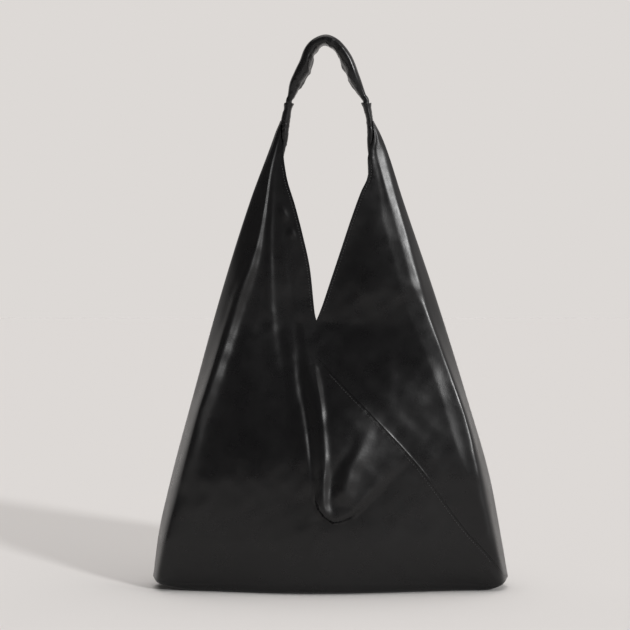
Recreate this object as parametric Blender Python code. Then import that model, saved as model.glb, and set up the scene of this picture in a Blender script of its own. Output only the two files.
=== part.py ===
"""A soft leather tote: two folded leather pieces that rise as wings and hold a gathered handle.

X runs to the right, Y to the back and Z up, in metres. The origin is on the ground, under the middle of
the base. The wall of the bag is read from one set of profiles, and every layer of it is the same wall
taken further in: leather, facing, lining and pocket.
"""
import math
from collections import namedtuple

import bmesh
import bpy
from mathutils import Vector

LEFT, RIGHT = -1, 1
FRONT, BACK = -1, 1
QUARTER = math.pi / 2

# Body of the bag
BASE_WIDTH = 0.390
BASE_DEPTH = 0.120
CORNER_LIFT = 0.012
EDGE_RADIUS = 0.014
MOUTH_BOTTOM = 0.2927
MOUTH_X = -0.0156
MOUTH_SEAM = 0.0397
MOUTH_RISE = 0.1773
WING_LAP = 0.042

# Leather, cloth and the gaps between pieces
LEATHER = 0.0014
FACING = 0.0010
LINING = 0.0006
CLEARANCE = 0.0003
SEAM_GAP = 0.0005
FACING_WIDTH = 0.026

# Pocket on the back lining
POCKET_WIDTH = 0.130
POCKET_HEIGHT = 0.120
POCKET_BOTTOM = 0.095
POCKET_CLOTH = 0.0008
POCKET_SLACK = 0.0019

# Magnetic snap under the mouth
SNAP_RADIUS = 0.008
SNAP_THICKNESS = 0.003
SNAP_BEVEL = 0.0006
SNAP_SEAT = 0.0005
STUD_RADIUS = 0.0028
STUD_HEIGHT = 0.0012

# Sleeves that end the wings and hold the handle
HANDLE_X = -0.0033
HANDLE_SPAN = 0.085
SLEEVE_LENGTH = 0.061
SLEEVE_HALF_WIDTH = 0.0051
SLEEVE_HALF_DEPTH = 0.0065
SLEEVE_LEAN = 0.0045
BORE_DEPTH = 0.046
BORE_RADIUS = 0.0026

# Handle
NECK_RISE = 0.006
STRAP_RADIUS = 0.0026
HANDLE_RISE = 0.0643
HANDLE_HALF_THICKNESS = 0.0072
HANDLE_HALF_WIDTH = 0.011
COVER = 0.0012

SEAM_TOP = MOUTH_BOTTOM - MOUTH_SEAM
SLEEVE_FOOT = MOUTH_BOTTOM + MOUTH_RISE
SLEEVE_TOP = SLEEVE_FOOT + SLEEVE_LENGTH
BORE_FOOT = SLEEVE_TOP - BORE_DEPTH
WING_TOP = SLEEVE_FOOT + WING_LAP
PIVOT_Z = SLEEVE_TOP + NECK_RISE
FACING_INSET = LEATHER + CLEARANCE
LINING_INSET = FACING_INSET + FACING + CLEARANCE
POCKET_INSET = LINING_INSET + LINING + POCKET_SLACK

# Side folds: share of the height, then share of the way out from the sleeve to the base corner
FOLD_SHARES = {
    LEFT: ((0, 1), (0.092, 0.957), (0.214, 0.859), (0.394, 0.686), (0.616, 0.466), (0.826, 0.229),
           (0.946, 0.068), (1, 0)),
    RIGHT: ((0, 1), (0.092, 0.946), (0.214, 0.867), (0.394, 0.691), (0.616, 0.456), (0.826, 0.214),
            (0.946, 0.081), (1, 0)),
}
# Mouth edges: share of the rise to the sleeve's foot, then share of the way across to it
MOUTH_SHARES = {
    LEFT: ((0, 0), (0.029, 0.03), (0.316, 0.186), (0.52, 0.403), (0.71, 0.647), (0.875, 0.894), (1, 1)),
    RIGHT: ((0, 0), (0.08, 0.1), (0.228, 0.256), (0.417, 0.454), (0.643, 0.69), (0.797, 0.868),
            (0.878, 0.988), (0.913, 1.01), (1, 1)),
}
# The mouth edge ends this far out from the sleeve's middle, in shares of the sleeve's half width
MOUTH_END_SHARE = {LEFT: 0.3, RIGHT: -1.0}
# Above the sleeve's foot the edge moves out to this share of the half width, within this share of the lap
HUG_SHARE = 0.75
HUG_RISE_SHARE = 0.6
# Half depth of the bag: share of the height, then share of the way from the sleeve to the full depth
DEPTH_SHARES = ((0, 0.923), (0.117, 1), (0.234, 0.945), (0.391, 0.669), (0.508, 0.337), (0.572, 0.193),
                (0.664, 0.193), (0.781, 0.138), (0.869, 0.061), (0.918, 0.02), (0.957, 0.006), (1, 0))
# Ridge where a side turns into a face, by share of the height: how far it lies in from the side fold and
# its half depth, then the roundness of the fold and the fullness of the face between ridge and mouth, all
# in shares of the base's half depth
RIDGE_RUN_SHARES = {
    LEFT: ((0, 0.11), (0.123, 0.174), (0.206, 0.212), (0.373, 0.215), (0.473, 0.28), (0.6, 0.295),
           (0.685, 0.315), (0.742, 0.36), (0.8, 0.31), (0.899, 0.144), (0.975, 0.051), (1, 0.05)),
    RIGHT: ((0, 0.15), (0.133, 0.211), (0.202, 0.26), (0.373, 0.255), (0.436, 0.284), (0.52, 0.327),
            (0.611, 0.4), (0.7, 0.33), (0.794, 0.3), (0.854, 0.27), (0.914, 0.24), (0.969, 0.12), (1, 0.07)),
}
RIDGE_DEPTH_SHARES = ((0, 0.45), (0.06, 0.65), (0.117, 0.76), (0.234, 0.77), (0.391, 0.635), (0.572, 0.39),
                      (0.664, 0.32), (0.781, 0.235), (0.869, 0.155), (0.918, 0.115), (0.96, 0.09), (1, 0.08))
FOLD_ROUND_SHARES = {
    LEFT: ((0, 0.2), (0.117, 0.2), (0.3, 0.25), (0.45, 0.16), (0.6, 0.06), (1, 0.03)),
    RIGHT: ((0, 0.2), (0.117, 0.18), (0.391, 0.14), (0.6, 0.1), (0.7, 0.09), (0.785, 0.07), (0.87, 0.04),
            (0.92, 0.02), (1, 0.02)),
}
FULLNESS_SHARES = ((0, 0), (0.117, 0.02), (0.234, 0.03), (0.391, 0.03), (0.572, 0.01), (0.664, 0), (1, 0))
RIDGE_LIMIT_SHARE = 0.7
RIDGE_POWERS = ((0, 4), (0.6, 4), (0.75, 5), (0.9, 8), (1, 10))
# Loose leather that hangs under the mouth and swells the front
DRAPE_X = 0.010
DRAPE_Z = 0.165
DRAPE_HALF_WIDTH = 0.042
DRAPE_HALF_HEIGHT = 0.070
DRAPE_SWELL = 0.002
# Diagonal seam: share of the way in from the corner, then share of the height to the seam's top
SEAM_SHARES = ((0, 0), (0.033, 0.023), (0.109, 0.125), (0.2, 0.224), (0.429, 0.527), (0.63, 0.718),
               (0.81, 0.863), (1, 1))
CORNER_RUN_SHARE = 0.3
CORNER_SHARPNESS = 2.2
EDGE_GROWTH_SHARE = 0.2

# Sleeves: share of their height, then shares of the lean, the half widths and the half depth
LEAN_SHARES = ((0, 1), (0.31, 1.05), (0.45, 1.15), (0.72, 0.8), (0.9, 0.3), (1, 0))
SLEEVE_WIDTH_SHARES = {
    LEFT: ((0, 0.59), (0.31, 0.765), (0.49, 0.92), (0.72, 0.96), (0.9, 0.84), (1, 1)),
    RIGHT: ((0, 0.59), (0.31, 0.765), (0.49, 0.78), (0.72, 0.72), (0.9, 0.8), (1, 1)),
}
SLEEVE_DEPTH_SHARES = ((0, 0.62), (0.31, 0.71), (0.49, 0.86), (0.72, 0.92), (1, 1))

# Handle from its left end to its right end: shares of the span and of the rise
ARCH_SHARES = ((0, 0), (0.086, 0.208), (0.144, 0.397), (0.209, 0.585), (0.266, 0.807), (0.35, 0.936),
               (0.479, 1), (0.583, 0.944), (0.673, 0.824), (0.757, 0.653), (0.847, 0.362), (0.919, 0.14),
               (1, 0))
# Handle section: share of the way along, then shares of the half thickness and the half width
THICKNESS_SHARES = ((0, 0.36), (0.05, 0.5), (0.09, 0.64), (0.15, 0.85), (0.22, 1), (0.33, 0.92),
                    (0.5, 0.8), (0.62, 0.86), (0.75, 0.88), (0.87, 0.72), (0.95, 0.52), (1, 0.36))
WIDTH_SHARES = ((0, 0.24), (0.05, 0.4), (0.1, 0.68), (0.2, 0.95), (0.5, 1), (0.8, 0.95), (0.9, 0.66),
                (0.95, 0.42), (1, 0.24))
# The cover leaves this share of the handle bare at each end
BARE_SHARE = 0.03

# Rows of the wall, counted up from the middle of the underside
UNDER_ROW = 2
EDGE_ROW = 5
LOWER_SHARES = (0, 0.22, 0.45, 0.68, 0.88, 1)
SEAM_ROW = EDGE_ROW + len(LOWER_SHARES) - 1
MOUTH_ROW = SEAM_ROW + 1
MOUTH_STEPS = 6
FOOT_ROW = MOUTH_ROW + MOUTH_STEPS
WING_STEPS = 4
TOP_ROW = FOOT_ROW + WING_STEPS
FACING_FOOT_ROW = SEAM_ROW - 1
FACING_TOP_ROW = FOOT_ROW - 1
# Columns of the wall, counted in from the side fold to the middle or the mouth
FOLD_COLUMN_SHARES = (0, 0.07, 0.2, 0.36, 0.52, 0.68, 0.84, 1)
FACING_COLUMN = len(FOLD_COLUMN_SHARES) - 1
LAST_COLUMN = FACING_COLUMN + 3
LEAST_FACING_SHARE = 0.28

ROUND_SIDES = 16
HANDLE_SIDES = 12
HANDLE_STEPS = 26
HANDLE_STATIONS = [i / HANDLE_STEPS for i in range(HANDLE_STEPS + 1)]
END_ROUND_STEPS = 3
BORE_STEPS = 7
POCKET_COLUMNS, POCKET_ROWS = 8, 6

# A layer of the wall: its two faces' insets, the last row joined across the middle, whether it runs
# round the side folds, and the face under whose seam it fills both halves (0 for a layer with no seam)
Layer = namedtuple("Layer", "outer inner joined_row joined_folds home_face")

BLACK_LEATHER = ("black_leather", (0.022, 0.022, 0.024), 0.42, 0.0)
BLACK_LINING = ("black_lining", (0.030, 0.030, 0.032), 0.85, 0.0)
DARK_STEEL = ("dark_steel", (0.28, 0.27, 0.26), 0.35, 1.0)


def clear_scene():
    for thing in list(bpy.data.objects):
        bpy.data.objects.remove(thing, do_unlink=True)


def make_material(name, looks):
    """Give one piece its own material from a named finish."""
    finish, colour, roughness, metallic = looks
    material = bpy.data.materials.new(f"{name}_{finish}")
    material.use_nodes = True
    shader = material.node_tree.nodes["Principled BSDF"]
    shader.inputs["Base Color"].default_value = (*colour, 1.0)
    shader.inputs["Roughness"].default_value = roughness
    shader.inputs["Metallic"].default_value = metallic
    return material


def add_piece(name, mesh, looks):
    """Put a finished bmesh into the scene as one named object."""
    bmesh.ops.triangulate(mesh, faces=[face for face in mesh.faces if len(face.verts) > 4])
    data = bpy.data.meshes.new(name)
    mesh.to_mesh(data)
    mesh.free()
    data.shade_smooth()
    data.set_sharp_from_angle(angle=math.radians(40))
    piece = bpy.data.objects.new(name, data)
    piece.data.materials.append(make_material(name, looks))
    bpy.context.scene.collection.objects.link(piece)
    return piece


def read_curve(points, place):
    """Read a smooth curve through (place, value) points that never overshoots them."""
    if place <= points[0][0]:
        return points[0][1]
    if place >= points[-1][0]:
        return points[-1][1]
    rises = [(b[1] - a[1]) / (b[0] - a[0]) for a, b in zip(points, points[1:])]
    slopes = [rises[0]]
    for before, after in zip(rises, rises[1:]):
        slopes.append(2 * before * after / (before + after) if before * after > 0 else 0)
    slopes.append(rises[-1])
    index = max(i for i, point in enumerate(points[:-1]) if point[0] <= place)
    (start, low), (end, high) = points[index], points[index + 1]
    run = end - start
    t = (place - start) / run
    keep = low * (1 + 2 * t) + slopes[index] * run * t
    reach = high * (3 - 2 * t) - slopes[index + 1] * run * (1 - t)
    return keep * (1 - t) ** 2 + reach * t ** 2


def ease(share):
    share = min(max(share, 0), 1)
    return share * share * (3 - 2 * share)


def sleeve_share(z):
    return (z - SLEEVE_FOOT) / SLEEVE_LENGTH


def sleeve_x(side, z):
    """Middle of a sleeve: under its top it leans away from the handle."""
    lean = SLEEVE_LEAN * read_curve(LEAN_SHARES, sleeve_share(z))
    return HANDLE_X + side * (HANDLE_SPAN / 2 + lean)


def sleeve_half_width(side, z):
    return SLEEVE_HALF_WIDTH * read_curve(SLEEVE_WIDTH_SHARES[side], sleeve_share(z))


def sleeve_half_depth(z):
    return SLEEVE_HALF_DEPTH * read_curve(SLEEVE_DEPTH_SHARES, sleeve_share(z))


def fold_x(side, z):
    """Outer fold of a wing, from the base corner up to just outside the sleeve."""
    wing = side * sleeve_x(side, WING_TOP) + sleeve_half_width(side, WING_TOP) + CLEARANCE + LEATHER
    rise = (z - CORNER_LIFT) / (WING_TOP - CORNER_LIFT)
    return side * (wing + (BASE_WIDTH / 2 - wing) * read_curve(FOLD_SHARES[side], rise))


def mouth_x(side, z):
    """Edge of the mouth, which ends on the sleeve's outer flank. Below the mouth it is the middle line."""
    if z <= MOUTH_BOTTOM:
        return MOUTH_X
    foot = sleeve_x(side, SLEEVE_FOOT)
    end = foot + side * MOUTH_END_SHARE[side] * sleeve_half_width(side, SLEEVE_FOOT)
    climb = (z - MOUTH_BOTTOM) / MOUTH_RISE
    edge = MOUTH_X + (end - MOUTH_X) * read_curve(MOUTH_SHARES[side], climb)
    hug = ease((z - SLEEVE_FOOT) / (WING_LAP * HUG_RISE_SHARE))
    flank = sleeve_x(side, z) + side * HUG_SHARE * sleeve_half_width(side, z)
    return edge + (flank - edge) * hug


def half_depth(z, inset):
    """Half depth of a layer at the middle line or the mouth."""
    flank = sleeve_half_depth(WING_TOP) * math.sqrt(1 - HUG_SHARE ** 2)
    wing = flank + CLEARANCE + LEATHER
    return wing + (BASE_DEPTH / 2 - wing) * read_curve(DEPTH_SHARES, z / WING_TOP) - inset


def base_share(points, z):
    """A length at a height, given in shares of the wing's height and of the base's half depth."""
    return BASE_DEPTH / 2 * read_curve(points, z / WING_TOP)


def wall_depth(side, z, reach, inset):
    """Distance of a layer from the middle plane: round fold, side, ridge, and face up to the mouth."""
    span = abs(mouth_x(side, z) - fold_x(side, z)) - inset
    run = min(base_share(RIDGE_RUN_SHARES[side], z), RIDGE_LIMIT_SHARE * span)
    out = reach * span
    if out <= 0:
        return 0
    ridge = base_share(RIDGE_DEPTH_SHARES, z) - inset
    flank = math.sqrt(2 * base_share(FOLD_ROUND_SHARES[side], z) * out + (ridge / run * out) ** 2)
    across = max(0, out - run) / (span - run)
    fullness = base_share(FULLNESS_SHARES, z) * math.sin(math.pi * across) ** 2
    face = ridge + (half_depth(z, inset) - ridge) * ease(across) + fullness
    power = read_curve(RIDGE_POWERS, z / WING_TOP)
    return flank * face / (flank ** power + face ** power) ** (1 / power)


def drape_swell(x, z):
    """How far the loose leather under the mouth swells the front."""
    away = ((x - DRAPE_X) / DRAPE_HALF_WIDTH) ** 2 + ((z - DRAPE_Z) / DRAPE_HALF_HEIGHT) ** 2
    return DRAPE_SWELL * max(0, 1 - away) ** 2


def wall_x(side, z, reach, inset, parting):
    """Place across the bag, from the fold towards the middle or the mouth."""
    fold = fold_x(side, z) - side * inset
    return fold + reach * (mouth_x(side, z) + parting - fold)


def row_height_at_middle(row):
    """Height of a wall row where it meets the middle line or the mouth."""
    if row <= MOUTH_ROW:
        return MOUTH_BOTTOM
    if row <= FOOT_ROW:
        return MOUTH_BOTTOM + MOUTH_RISE * (row - MOUTH_ROW) / MOUTH_STEPS
    return SLEEVE_FOOT + WING_LAP * (row - FOOT_ROW) / WING_STEPS


def column_turn(side, row, column):
    """Angle of a column: the last ones keep the facing's width along the mouth."""
    z = row_height_at_middle(row)
    span = abs(fold_x(side, z) - mouth_x(side, z))
    facing_turn = math.acos(1 - max(LEAST_FACING_SHARE, 1 - FACING_WIDTH / span))
    if column <= FACING_COLUMN:
        return facing_turn * FOLD_COLUMN_SHARES[column]
    return facing_turn + (QUARTER - facing_turn) * (column - FACING_COLUMN) / (LAST_COLUMN - FACING_COLUMN)


def wall_point(layer, key, inset):
    """One corner of a layer's grid. Side or face is 0 on a line that both sides or faces share."""
    side, face, row, column = key
    gap = SEAM_GAP / 2
    parting = side * gap
    side = side or RIGHT
    turn = column_turn(side, row, column)
    reach = 1 - math.cos(turn)
    corner = CORNER_LIFT + inset
    low = CORNER_LIFT * max(0, 1 - reach / CORNER_RUN_SHARE) ** CORNER_SHARPNESS + inset
    radius = (EDGE_RADIUS - inset) * (1 + EDGE_GROWTH_SHARE) * reach / (reach + EDGE_GROWTH_SHARE)
    seam = corner + (SEAM_TOP - corner) * read_curve(SEAM_SHARES, reach)
    edge_top = low + radius
    if row <= EDGE_ROW:
        roll = QUARTER * max(0, row - UNDER_ROW) / (EDGE_ROW - UNDER_ROW)
        z = edge_top - radius * math.cos(roll)
        flat = wall_depth(side, edge_top, reach, inset) - radius
        y = flat * min(1, row / UNDER_ROW) + radius * math.sin(roll)
    else:
        if row <= SEAM_ROW:
            z = edge_top + (seam - edge_top) * LOWER_SHARES[row - EDGE_ROW]
        else:
            climb = (row_height_at_middle(row) - SEAM_TOP) / (WING_TOP - SEAM_TOP)
            z = seam + (WING_TOP - seam) * climb
        y = wall_depth(side, z, reach, inset)
    if layer.home_face and row == SEAM_ROW and column > 0:
        z += -gap if face == layer.home_face else gap
    if column > 0 or not layer.joined_folds:
        y = max(y, gap)
    x = wall_x(side, z, reach, inset, parting)
    if face == FRONT:
        y += drape_swell(x, z)
    return Vector((x, face * y, z))


def sheet_mesh(cells, locate, outer, inner):
    """Close a sheet of grid cells, each a loop of corner keys, between two insets."""
    mesh = bmesh.new()
    corners = {}

    def corner(key, inset):
        if (key, inset) not in corners:
            corners[key, inset] = mesh.verts.new(locate(key, inset))
        return corners[key, inset]

    edges = set()
    for cell in cells:
        keys = [key for i, key in enumerate(cell) if key != cell[i - 1]]
        for second, third in zip(keys[1:], keys[2:]):
            triangle = (keys[0], second, third)
            mesh.faces.new([corner(key, outer) for key in triangle])
            mesh.faces.new([corner(key, inner) for key in reversed(triangle)])
            edges.update(zip(triangle, (second, third, keys[0])))
    for start, end in sorted(edges):
        if (end, start) not in edges:
            rim = (corner(end, outer), corner(start, outer), corner(start, inner), corner(end, inner))
            mesh.faces.new(rim)
    return mesh


def wall_key(layer, side, face, row, column):
    """Name a grid corner so that neighbouring quarters share it where the layer is joined."""
    if column == 0:
        return (side, 0 if layer.joined_folds else face, max(row, SEAM_ROW), column)
    if column == LAST_COLUMN and row <= layer.joined_row:
        return (0, face, row, column)
    return (side, face, row, column)


def wall_sheet(name, layer, spans, looks):
    """Build one layer. Spans are (side, face, first row, last row, first column, last column)."""
    cells = []
    for side, face, first_row, last_row, first_column, last_column in spans:
        for row in range(first_row, last_row):
            for column in range(first_column, last_column):
                ring = ((row, column + 1), (row + 1, column + 1), (row + 1, column), (row, column))
                if side != face:
                    ring = (ring[0], ring[3], ring[2], ring[1])
                cells.append([wall_key(layer, side, face, *place) for place in ring])

    def locate(key, inset):
        return wall_point(layer, key, inset)

    add_piece(name, sheet_mesh(cells, locate, layer.outer, layer.inner), looks)


def leather_panel(name, home_side, home_face):
    """One folded piece: its own wing all round, and under the seam the other half of its own face."""
    spans = (
        (home_side, home_face, 0, TOP_ROW, 0, LAST_COLUMN),
        (home_side, -home_face, SEAM_ROW, TOP_ROW, 0, LAST_COLUMN),
        (-home_side, home_face, 0, SEAM_ROW, 1, LAST_COLUMN),
    )
    wall_sheet(name, Layer(0, LEATHER, SEAM_ROW, True, home_face), spans, BLACK_LEATHER)


def facing_layer():
    return Layer(FACING_INSET, FACING_INSET + FACING, MOUTH_ROW, False, 0)


def facing_strip(name, face):
    """The turned-in strip along one V of the mouth, joined under its lowest point."""
    spans = [(side, face, FACING_FOOT_ROW, FACING_TOP_ROW, FACING_COLUMN, LAST_COLUMN)
             for side in (LEFT, RIGHT)]
    wall_sheet(name, facing_layer(), spans, BLACK_LEATHER)


def lining_half(name, face):
    """Cloth inside one face, sewn to the facing's outer edge and running down over the base."""
    spans = []
    for side in (LEFT, RIGHT):
        spans.append((side, face, 0, FACING_TOP_ROW, 0, FACING_COLUMN))
        spans.append((side, face, 0, FACING_FOOT_ROW, FACING_COLUMN, LAST_COLUMN))
    layer = Layer(LINING_INSET, LINING_INSET + LINING, MOUTH_ROW, False, 0)
    wall_sheet(name, layer, spans, BLACK_LINING)


def slip_pocket():
    """A flat patch that hangs inside the back lining."""
    def locate(key, inset):
        column, row = key
        x = MOUTH_X + POCKET_WIDTH * (column / POCKET_COLUMNS - 1 / 2)
        z = POCKET_BOTTOM + POCKET_HEIGHT * row / POCKET_ROWS
        side = RIGHT if x > MOUTH_X else LEFT
        fold = fold_x(side, z) - side * inset
        reach = (fold - x) / (fold - mouth_x(side, z))
        return Vector((x, wall_depth(side, z, reach, inset), z))

    cells = []
    for column in range(POCKET_COLUMNS):
        for row in range(POCKET_ROWS):
            cells.append([(column, row), (column, row + 1), (column + 1, row + 1), (column + 1, row)])
    mesh = sheet_mesh(cells, locate, POCKET_INSET, POCKET_INSET + POCKET_CLOTH)
    add_piece("slip_pocket", mesh, BLACK_LINING)


def loft_mesh(rings, wrap=False):
    """Close rings of equal count into one body: capped at both ends, or wrapped round to the first."""
    mesh = bmesh.new()
    loops = [[mesh.verts.new(point) for point in ring] for ring in rings]
    pairs = list(zip(loops, loops[1:]))
    if wrap:
        pairs.append((loops[-1], loops[0]))
    for lower, upper in pairs:
        for i in range(len(lower)):
            mesh.faces.new((lower[i - 1], lower[i], upper[i], upper[i - 1]))
    if not wrap:
        mesh.faces.new(loops[0][::-1])
        mesh.faces.new(loops[-1])
    return mesh


def level_ring(x, z, across, deep):
    """A level oval of two half sizes, counted anticlockwise from above."""
    angles = [math.tau * i / ROUND_SIDES for i in range(ROUND_SIDES)]
    return [Vector((x + across * math.cos(angle), deep * math.sin(angle), z)) for angle in angles]


def bore_heights():
    return [BORE_FOOT + BORE_DEPTH * i / BORE_STEPS for i in range(BORE_STEPS + 1)]


def sleeve(name, side):
    """Rolled tip of a wing, with a blind bore for the handle's strap."""
    bore = bore_heights()
    heights = [SLEEVE_FOOT, (SLEEVE_FOOT + BORE_FOOT) / 2, *bore]
    rings = [level_ring(sleeve_x(side, z), z, sleeve_half_width(side, z), sleeve_half_depth(z))
             for z in heights]
    rings += [level_ring(sleeve_x(side, z), z, BORE_RADIUS, BORE_RADIUS) for z in reversed(bore)]
    add_piece(name, loft_mesh(rings), BLACK_LEATHER)


def strap_end(name, side):
    """End of the strap inside the sleeve, up to the fold that the handle turns on."""
    heights = bore_heights()
    heights[0] += CLEARANCE
    heights.append(PIVOT_Z - STRAP_RADIUS - CLEARANCE)
    radius = BORE_RADIUS - CLEARANCE
    rings = [level_ring(sleeve_x(side, z), z, radius, radius) for z in heights]
    add_piece(name, loft_mesh(rings), BLACK_LEATHER)


def arch_point(along):
    """Place on the handle's middle line, seen from its joint's axis, by the share of its length."""
    places = [Vector((HANDLE_SPAN * (u - 1 / 2), 0, HANDLE_RISE * v)) for u, v in ARCH_SHARES]
    lengths = [0]
    for start, end in zip(places, places[1:]):
        lengths.append(lengths[-1] + (end - start).length)
    shares = [length / lengths[-1] for length in lengths]
    x = read_curve([(share, place.x) for share, place in zip(shares, places)], along)
    z = read_curve([(share, place.z) for share, place in zip(shares, places)], along)
    return Vector((x, 0, z))


def arch_tangent(along):
    step = HANDLE_STATIONS[1] / 2
    return (arch_point(min(1, along + step)) - arch_point(max(0, along - step))).normalized()


def handle_ring(along, half_thickness, half_width, end_roll=0):
    """An oval square to the handle. At an end a roll draws it into a ball round the joint's axis."""
    tangent = arch_tangent(along)
    normal = Vector((tangent.z, 0, -tangent.x))
    centre = arch_point(along) + tangent * STRAP_RADIUS * math.sin(end_roll)
    ring = []
    for i in range(HANDLE_SIDES):
        angle = math.tau * i / HANDLE_SIDES
        out = normal * half_thickness * math.cos(angle) + Vector((0, half_width * math.sin(angle), 0))
        ring.append(centre + out * math.cos(end_roll))
    return ring


def cover_ring(along, inset):
    """The gathered cover's section, taken in by an inset."""
    half_thickness = HANDLE_HALF_THICKNESS * read_curve(THICKNESS_SHARES, along)
    half_width = HANDLE_HALF_WIDTH * read_curve(WIDTH_SHARES, along)
    return handle_ring(along, half_thickness - inset, half_width - inset)


def handle_core(hinge):
    """The padded strap inside the cover. Its bare ends turn on the joint's axis."""
    rolls = [QUARTER * (i - END_ROUND_STEPS) / (END_ROUND_STEPS + 1 / 2) for i in range(END_ROUND_STEPS + 1)]
    rings = [handle_ring(0, STRAP_RADIUS, STRAP_RADIUS, roll) for roll in rolls]
    rings += [cover_ring(along, COVER + CLEARANCE) for along in HANDLE_STATIONS[1:-1]]
    rings += [handle_ring(1, STRAP_RADIUS, STRAP_RADIUS, -roll) for roll in reversed(rolls)]
    core = add_piece("handle_core", loft_mesh(rings), BLACK_LEATHER)
    core.parent = hinge


def handle_cover(hinge):
    """The gathered leather tube round the core, open at both ends."""
    stations = [along for along in HANDLE_STATIONS if BARE_SHARE < along < 1 - BARE_SHARE]
    rings = [cover_ring(along, 0) for along in stations]
    rings += [cover_ring(along, COVER) for along in reversed(stations)]
    cover = add_piece("handle_cover", loft_mesh(rings, wrap=True), BLACK_LEATHER)
    cover.parent = hinge


def handle():
    """The handle hangs on an empty that marks the line through both sleeve tops."""
    hinge = bpy.data.objects.new("handle_hinge", None)
    hinge.location = (HANDLE_X, 0, PIVOT_Z)
    bpy.context.scene.collection.objects.link(hinge)
    handle_core(hinge)
    handle_cover(hinge)


def snap_half(name, face, stud):
    """One disc of the magnetic snap, flat on the facing under the mouth."""
    layer = facing_layer()
    below = wall_point(layer, (0, face, FACING_FOOT_ROW, LAST_COLUMN), layer.inner)
    above = wall_point(layer, (0, face, SEAM_ROW, LAST_COLUMN), layer.inner)
    up = (above - below).normalized()
    inward = Vector((0, up.z, -up.y)) * -face
    mesh = bmesh.new()
    bmesh.ops.create_cone(mesh, cap_ends=True, segments=2 * HANDLE_SIDES, radius1=SNAP_RADIUS,
                          radius2=SNAP_RADIUS, depth=SNAP_THICKNESS)
    if stud:
        top = max(mesh.faces, key=lambda side: side.calc_center_median().z)
        bmesh.ops.inset_individual(mesh, faces=[top], thickness=SNAP_RADIUS - STUD_RADIUS)
        raised = bmesh.ops.extrude_discrete_faces(mesh, faces=[top])["faces"]
        bmesh.ops.translate(mesh, verts=raised[0].verts, vec=(0, 0, STUD_HEIGHT))
    disc = add_piece(name, mesh, DARK_STEEL)
    disc.location = (below + above) / 2 + inward * (SNAP_SEAT + SNAP_THICKNESS / 2)
    disc.rotation_mode = "QUATERNION"
    disc.rotation_quaternion = inward.to_track_quat("Z", "X")
    bevel = disc.modifiers.new("rounded_rim", "BEVEL")
    bevel.width = SNAP_BEVEL
    bevel.segments = 2
    bevel.limit_method = "ANGLE"


def main():
    clear_scene()
    leather_panel("front_panel", LEFT, FRONT)
    leather_panel("back_panel", RIGHT, BACK)
    facing_strip("facing_front", FRONT)
    facing_strip("facing_back", BACK)
    lining_half("lining_front", FRONT)
    lining_half("lining_back", BACK)
    slip_pocket()
    snap_half("snap_socket", FRONT, False)
    snap_half("snap_stud", BACK, True)
    sleeve("sleeve_left", LEFT)
    sleeve("sleeve_right", RIGHT)
    strap_end("strap_end_left", LEFT)
    strap_end("strap_end_right", RIGHT)
    handle()


main()
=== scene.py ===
"""Looks of the soft triangle tote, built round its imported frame.

The leather panels are fine grids on the wall that the solids follow. The folds of the photograph lie over
them as ridges and hollows along lines. X runs to the right, Y to the back and Z up, in metres.
"""
import math
from collections import namedtuple

import bmesh
import bpy
import numpy as np
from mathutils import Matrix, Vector


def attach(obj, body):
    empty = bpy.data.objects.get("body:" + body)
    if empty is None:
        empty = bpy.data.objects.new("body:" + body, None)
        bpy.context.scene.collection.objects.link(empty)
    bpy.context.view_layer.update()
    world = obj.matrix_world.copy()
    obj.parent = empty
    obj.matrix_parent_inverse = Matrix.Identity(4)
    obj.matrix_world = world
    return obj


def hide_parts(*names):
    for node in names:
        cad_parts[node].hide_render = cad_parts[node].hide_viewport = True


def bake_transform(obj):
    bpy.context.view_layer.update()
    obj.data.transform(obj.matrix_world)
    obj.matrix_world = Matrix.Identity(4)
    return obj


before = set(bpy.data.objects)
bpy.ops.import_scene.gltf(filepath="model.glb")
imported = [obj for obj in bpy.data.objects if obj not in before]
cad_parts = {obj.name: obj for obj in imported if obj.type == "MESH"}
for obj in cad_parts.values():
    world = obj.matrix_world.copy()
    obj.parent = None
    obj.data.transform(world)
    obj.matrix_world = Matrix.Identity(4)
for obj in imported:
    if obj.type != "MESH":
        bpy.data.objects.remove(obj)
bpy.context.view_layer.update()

LEFT, RIGHT = -1, 1
FRONT, BACK = -1, 1
SIDE_NAMES = {LEFT: "left", RIGHT: "right"}
FACE_NAMES = {FRONT: "front", BACK: "back"}
QUARTER = math.pi / 2
MM = 0.001

# The photograph: its size and middle in pixels, and the camera that took it
PICTURE_SIDE = 630
PICTURE_MIDDLE = 315
CAMERA_DISTANCE = 1.7
CAMERA_HEIGHT = 0.2985
CAMERA_X = -0.01705
SENSOR = 36.0
FOCAL_PIXELS = 1545.45

# Body of the bag, as in the part's source
BASE_WIDTH = 0.390
BASE_DEPTH = 0.120
CORNER_LIFT = 0.012
EDGE_RADIUS = 0.014
MOUTH_BOTTOM = 0.2927
MOUTH_X = -0.0156
MOUTH_SEAM = 0.0397
MOUTH_RISE = 0.1773
WING_LAP = 0.042
LEATHER = 0.0014
FACING = 0.0010
LINING = 0.0006
CLEARANCE = 0.0003
SEAM_GAP = 0.0005
FACING_WIDTH = 0.026
POCKET_WIDTH = 0.130
POCKET_HEIGHT = 0.120
POCKET_BOTTOM = 0.095
POCKET_CLOTH = 0.0008
POCKET_SLACK = 0.0019
HANDLE_X = -0.0033
HANDLE_SPAN = 0.085
SLEEVE_LENGTH = 0.061
SLEEVE_HALF_WIDTH = 0.0051
SLEEVE_HALF_DEPTH = 0.0065
SLEEVE_LEAN = 0.0045
BORE_DEPTH = 0.046
BORE_RADIUS = 0.0026
NECK_RISE = 0.006
STRAP_RADIUS = 0.0026
HANDLE_RISE = 0.0643
HANDLE_HALF_THICKNESS = 0.0072
HANDLE_HALF_WIDTH = 0.011
COVER = 0.0012

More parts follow.
